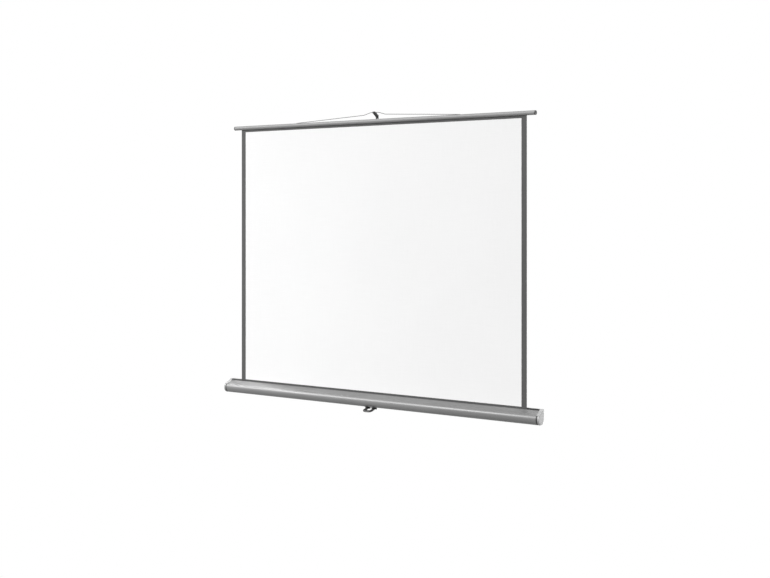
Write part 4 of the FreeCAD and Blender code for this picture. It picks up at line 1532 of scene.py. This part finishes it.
@dataclass
class PullHandle:
    """D handle on a pinned bracket under the case."""

    half: float = 25.0
    reach: float = 46.0
    thickness: float = 6.5
    bar: float = 14.0
    corner_r: float = 18.0
    rim: float = 2.3
    eye_r: float = 3.8
    eye_soft: float = 0.5
    eye_play: float = 0.06
    tilt_degrees: float = 12.0
    ear_r: float = 4.2
    ear_t: float = 4.4
    ear_gap: float = 0.5
    ear_root: float = 0.2
    ear_edge: float = 0.6
    ear_points: int = 33
    saddle_half: float = 9.0
    saddle_low: float = -60.4
    saddle_edge: float = 0.25
    saddle_play: float = 0.05
    saddle_points: int = 33
    pin_r: float = 1.5
    pin_play: float = 0.02
    pin_over: float = 1.0
    pin_tip_r: float = 0.6
    pin_tip_from: float = 0.2
    pin_rub: float = 0.3
    pin_points: int = 6
    pin_sides: int = 32
    screw_x: float = 3.0
    shank: float = 5.0
    screw: Screw = Screw()

    @property
    def inner(self) -> float:
        """Inner side of the D's legs."""
        return self.half - self.bar

    @property
    def bracket_half(self) -> float:
        """Half the bracket's length, to the outer ears."""
        return self.half + self.ear_gap + self.ear_t

    def build(self) -> None:
        """Build bracket, pin, screws and the D."""
        self.bracket()
        self.pin()
        self.screws()
        self.grip()

    def grip(self) -> None:
        """Carry the D's outline through its thickness, add the eyes and tilt the whole."""
        half, inner, front, inner_r = self.half, self.inner, -self.reach, self.corner_r - self.bar
        flat = rounded([
            (half, 0.0, 0.0), (half, front, self.corner_r), (-half, front, self.corner_r), (-half, 0.0, 0.0),
            (-inner, 0.0, 0.0), (-inner, front + self.bar, inner_r), (inner, front + self.bar, inner_r),
            (inner, 0.0, 0.0),
        ], steps=24)
        shell = Shell()
        side = self.thickness / 2
        shell.prism(flat, (-side, side), Axis.Z, (self.rim, self.rim), steps=8)
        soft, bore = self.eye_soft, self.pin_r + self.eye_play
        eye = np.array([[inner, bore], [inner, self.eye_r - soft], [inner + soft, self.eye_r],
                        [half - soft, self.eye_r], [half, self.eye_r - soft], [half, bore]])
        for sign in (-1, 1):
            shell.lathe(eye * np.array([sign, 1]), Axis.X, (0.0, 0.0, 0.0))
        turn = math.radians(self.tilt_degrees)
        cos, sin = math.cos(turn), math.sin(turn)
        tilt = np.array([[1, 0, 0], [0, cos, -sin], [0, sin, cos]])
        shell.points = [points @ tilt.T + LAYOUT.pivot for points in shell.points]
        make_piece(shell, "handle_grip", Body.HANDLE, FINISHES.handle, ["pull_handle"])

    def saddle(self) -> np.ndarray:
        """Work out the saddle's section: flat below, following the case's belly above.

        The belly is two arcs with a flat between them. Off the flat by d, it lies below the arcs'
        centres by the root of radius squared less d squared.

        Returns:
            Points of the section.
        """
        radius = LAYOUT.belly_r
        middle = LAYOUT.pivot[1]
        y = np.linspace(middle - self.saddle_half, middle + self.saddle_half, self.saddle_points)
        flat_front = LAYOUT.cloth_y + LAYOUT.case_front + radius
        flat_back = LAYOUT.cloth_y + LAYOUT.case_back - radius
        off = np.clip(flat_front - y, 0, None) + np.clip(y - flat_back, 0, None)
        centre = LAYOUT.lip_z + LAYOUT.case_low + radius
        belly = centre - np.sqrt((radius + self.saddle_play) ** 2 - off ** 2)
        low = LAYOUT.lip_z + self.saddle_low
        return np.concatenate([[[y[0], low], [y[-1], low]], np.stack([y, belly], 1)[::-1]])

    def bracket(self) -> None:
        """Carry the saddle along the case and hang two ears on it for each leg."""
        shell = Shell()
        edges = (self.saddle_edge, self.saddle_edge)
        shell.prism(self.saddle(), (-self.bracket_half, self.bracket_half), edges=edges, steps=3)
        y, z = LAYOUT.pivot[1:]
        root = LAYOUT.lip_z + self.saddle_low + self.ear_root
        bend = arc((y, z), self.ear_r, np.linspace(math.pi, TURN, self.ear_points))
        ear = np.concatenate([[[y - self.ear_r, root]], bend, [[y + self.ear_r, root]]])
        hole = circle((y, z), self.pin_r + self.pin_play)
        edges = (self.ear_edge, self.ear_edge)
        for side in Side:
            for x in (self.inner - self.ear_gap - self.ear_t, self.half + self.ear_gap):
                shell.prism(ear, side.span(x, x + self.ear_t), edges=edges, holes=[hole])
        make_piece(shell, "handle_saddle", Body.CASE, FINISHES.bracket, ["handle_bracket"])

    def pin(self) -> None:
        """Turn the hinge pin, with rounded ends."""
        end = self.bracket_half + self.pin_over
        bend = np.linspace(self.pin_tip_from, QUARTER, self.pin_points)
        tip = arc((end - self.pin_tip_r, self.pin_r - self.pin_tip_r), self.pin_tip_r, bend)
        profile = np.concatenate([tip * np.array([-1, 1]), tip[::-1]])
        shell = Shell()
        shell.lathe(profile, Axis.X, LAYOUT.pivot, self.pin_sides, self.pin_rub)
        make_piece(shell, "hinge_pin", Body.CASE, FINISHES.screw, ["handle_pin"])

    def screws(self) -> None:
        """Add the two screws that hold the bracket."""
        shell = Shell()
        top = LAYOUT.lip_z + self.saddle_low - self.screw.head_h
        for x in (-self.screw_x, self.screw_x):
            self.screw.build(shell, np.array([x, LAYOUT.pivot[1], top]), Axis.Z, -1.0, self.shank)
        make_piece(shell, "saddle_screws", Body.CASE, FINISHES.screw, ["handle_screws"])


@dataclass
class RollerWorks:
    """Roller inside the case: turns of cloth, winding spring and the finishes of its CAD parts."""

    wrap_from: float = 12.7
    wrap_to: float = 13.3
    wrap_turns: float = 1.6
    wrap_t: float = 0.3
    wrap_steps: int = 160
    wrap_columns: int = 5
    spring_r: float = 7.6
    spring_wire_r: float = 0.9
    spring_pitch: float = 7.0
    spring_turns: int = 24
    spring_start: float = -604.0
    spring_steps: int = 40
    spring_sides: int = 12
    steel: tuple[str, ...] = (
        "spring_spindle", "roller_tube", "gudgeon_pin", "pawl_pins", "pawl_upper", "pawl_lower",
        "ratchet_wheel", "spindle_collar",
    )
    nylon: tuple[str, ...] = (
        "fabric_welt", "pawl_carrier", "idle_plug", "spindle_bush", "spindle_end_bush", "gudgeon_bush",
    )

    def build(self) -> None:
        """Build the turns of cloth and the spring, and dress the CAD parts that stay."""
        self.wraps()
        self.spring()
        for finish, nodes in ((FINISHES.steel, self.steel), (FINISHES.nylon, self.nylon)):
            for node in nodes:
                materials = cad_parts[node].data.materials
                materials.clear()
                materials.append(finish.material())
                log.info("%s: %s", node, finish.name)

    def wraps(self) -> None:
        """Wind the cloth that stays on the roller: a spiral whose radius grows evenly with its turn."""
        angle = np.linspace(0, TURN * self.wrap_turns, self.wrap_steps)
        radius = np.linspace(self.wrap_from, self.wrap_to, self.wrap_steps)[:, None]
        x = np.linspace(-LAYOUT.cloth_half, LAYOUT.cloth_half, self.wrap_columns)
        around = arc((0.0, 0.0), 1.0, angle)
        faces = []
        for shift in (self.wrap_t / 2, -self.wrap_t / 2):
            ring = LAYOUT.roller_centre + around * (radius + shift)
            faces.append(carried(np.repeat(ring[:, None], len(x), 1), x, Axis.X))
        shell = Shell()
        shell.slab(*faces)
        nodes = ["fabric_wraps"]
        turns = make_piece(shell, "cloth_turns", Body.ROLLER, FINISHES.cloth, nodes, False)

    def spring(self) -> None:
        """Wind the spring: a circle carried along a helix round the spindle."""
        angle = np.linspace(0, TURN * self.spring_turns, self.spring_steps * self.spring_turns)
        radial = carried(arc((0.0, 0.0), 1.0, angle), 0.0, Axis.X)
        centre = np.array([self.spring_start, *LAYOUT.roller_centre])
        path = centre + self.spring_r * radial
        path[:, 0] += self.spring_pitch * angle / TURN
        shell = Shell()
        shell.tube(path, radial, self.spring_wire_r, self.spring_sides)
        make_piece(shell, "winding_spring", Body.CASE, FINISHES.spring, ["power_spring"])


class LampKind(Enum):
    """Kinds of lamps in the studio."""

    SUN = "SUN"
    SPOT = "SPOT"
    AREA = "AREA"


@dataclass(frozen=True)
class Lamp:
    """One lamp: its place, what it points at, its power, and the values that its kind has."""

    name: str
    kind: LampKind
    at: Triple
    aim: Triple
    power: float
    traits: tuple[tuple[str, float], ...]

    def hang(self) -> None:
        """Put the lamp into the scene."""
        light = bpy.data.lights.new(self.name, self.kind.value)
        light.energy = self.power
        for trait, value in self.traits:
            setattr(light, trait, value)
        made = add_object(self.name, light)
        made.location = self.at
        made.rotation_euler = (Vector(self.aim) - Vector(self.at)).to_track_quat("-Z", "Y").to_euler()


@dataclass
class Studio:
    """Pale floor, white surroundings, lamps and the camera.

    The leading light is a sun, even over the whole cloth. The edge lamp is a narrow one at the far
    left, just behind the cloth, for the top of the case. The others are square and soft.
    """

    floor_z: float = -2.25
    floor_half: float = 30.0
    floor_lines: int = 9
    floor_level: float = 110.0
    floor_glow: float = 0.88
    ambient: float = 0.2
    white: tuple[float, float, float, float] = (1.0, 1.0, 1.0, 1.0)
    sensor: float = 36.0
    lens: float = 48.25
    clip: Pair = (0.05, 100.0)
    turn_degrees: float = 30.22
    camera_at: Triple = (2.489, -4.202, -0.4596)
    shift_y: float = -0.0948
    lamps: tuple[Lamp, ...] = (
        Lamp("key_light", LampKind.SUN, (-0.51, -0.663, 0.554), (0.0, 0.0, 0.0), 3.3,
             (("angle", math.radians(16.0)),)),
        Lamp("edge_lamp", LampKind.SPOT, (-2.4, 0.12, 0.0), (-0.5, -0.07, -1.31), 300.0,
             (("shadow_soft_size", 0.12), ("spot_size", math.radians(14.0)), ("spot_blend", 1.0))),
        Lamp("left_lamp", LampKind.AREA, (-2.2, -2.2, -0.7), (-0.2, 0.0, -0.8), 17.0, (("size", 1.4),)),
        Lamp("top_lamp", LampKind.AREA, (-0.4, -1.6, 3.2), (0.0, -0.1, -0.8), 12.0, (("size", 2.2),)),
        Lamp("back_lamp", LampKind.AREA, (0.5, 3.6, 1.6), (0.0, 0.0, -0.7), 60.0, (("size", 2.6),)),
        Lamp("side_lamp", LampKind.AREA, (2.7, 0.4, -1.1), (0.85, -0.03, -1.32), 34.0, (("size", 0.9),)),
    )

    def build(self) -> None:
        """Set up the floor, the surroundings, the lamps and the camera."""
        self.floor()
        self.world()
        for lamp in self.lamps:
            lamp.hang()
        self.camera()
        bpy.context.scene.view_settings.view_transform = "Standard"

    @staticmethod
    def shown_directly(wiring: Wiring) -> Socket:
        """Work out which rays show the background: seen straight, mirrored or through glass.

        Args:
            wiring: Wiring of the tree that asks.

        Returns:
            1 for such rays, 0 for the others.
        """
        path = wiring.node("ShaderNodeLightPath").outputs
        mirrored = wiring.math("MAXIMUM", path["Is Glossy Ray"], path["Is Transmission Ray"])
        return wiring.math("MAXIMUM", path["Is Camera Ray"], mirrored)

    def floor(self) -> None:
        """Lay the floor: pale for light, lifted to white where it is seen, with the shadow kept."""
        side = np.linspace(-self.floor_half, self.floor_half, self.floor_lines)
        wide, deep = np.meshgrid(side, side)
        shell = Shell()
        grid = shell.add(np.stack([wide, deep, np.full_like(wide, self.floor_z)], -1) / MM)
        shell.join(grid, closed=False)
        made = add_object("studio_floor", shell.mesh("studio_floor"))
        made.data.materials.append(self.paper())

    def paper(self) -> bpy.types.Material:
        """Build the floor's material: diffuse paper with a glow for direct views, clear from below.

        Returns:
            The new material.
        """
        made = bpy.data.materials.new("floor_paper")
        made.use_nodes = True
        made.node_tree.nodes.clear()
        wiring = Wiring(made.node_tree)
        tone = wiring.node("ShaderNodeBsdfDiffuse", {"Color": grey(self.floor_level)}).outputs[0]
        strength = wiring.math("MULTIPLY", self.shown_directly(wiring), self.floor_glow)
        glow = wiring.node("ShaderNodeEmission", {"Color": self.white, "Strength": strength}).outputs[0]
        both = wiring.node("ShaderNodeAddShader", {0: tone, 1: glow}).outputs[0]
        clear = wiring.node("ShaderNodeBsdfTransparent").outputs[0]
        below = wiring.node("ShaderNodeNewGeometry").outputs["Backfacing"]
        seen = wiring.node("ShaderNodeMixShader", {0: below, 1: both, 2: clear}).outputs[0]
        wiring.node("ShaderNodeOutputMaterial", {"Surface": seen})
        return made

    def world(self) -> None:
        """Light the scene evenly, and show white where the surroundings are seen."""
        made = bpy.data.worlds.new("studio_surroundings")
        bpy.context.scene.world = made
        made.use_nodes = True
        wiring = Wiring(made.node_tree)
        background = made.node_tree.nodes["Background"].inputs
        strength = wiring.ramp(self.shown_directly(wiring), high=(self.ambient, 1.0))
        wiring.feed(background["Color"], self.white)
        wiring.feed(background["Strength"], strength)

    def camera(self) -> None:
        """Set the camera at the photograph's angle, level, with the horizon moved by the shift."""
        lens = bpy.data.cameras.new("photo_camera")
        lens.sensor_width, lens.lens, lens.shift_y = self.sensor, self.lens, self.shift_y
        lens.clip_start, lens.clip_end = self.clip
        made = add_object("photo_camera", lens)
        made.location = self.camera_at
        made.rotation_euler = (QUARTER, 0.0, math.radians(self.turn_degrees))
        bpy.context.scene.camera = made


def main() -> None:
    """Build the studio and every sub-assembly."""
    logging.basicConfig(level=logging.INFO, format="%(name)s: %(message)s")
    for assembly in (Studio(), WallHook(), HangerWire(), TopBar(), ProjectionCloth(), RollerCase(),
                     CaseEnds(), PullHandle(), RollerWorks()):
        log.info("building %s", type(assembly).__name__)
        assembly.build()


if __name__ == "__main__":
    main()
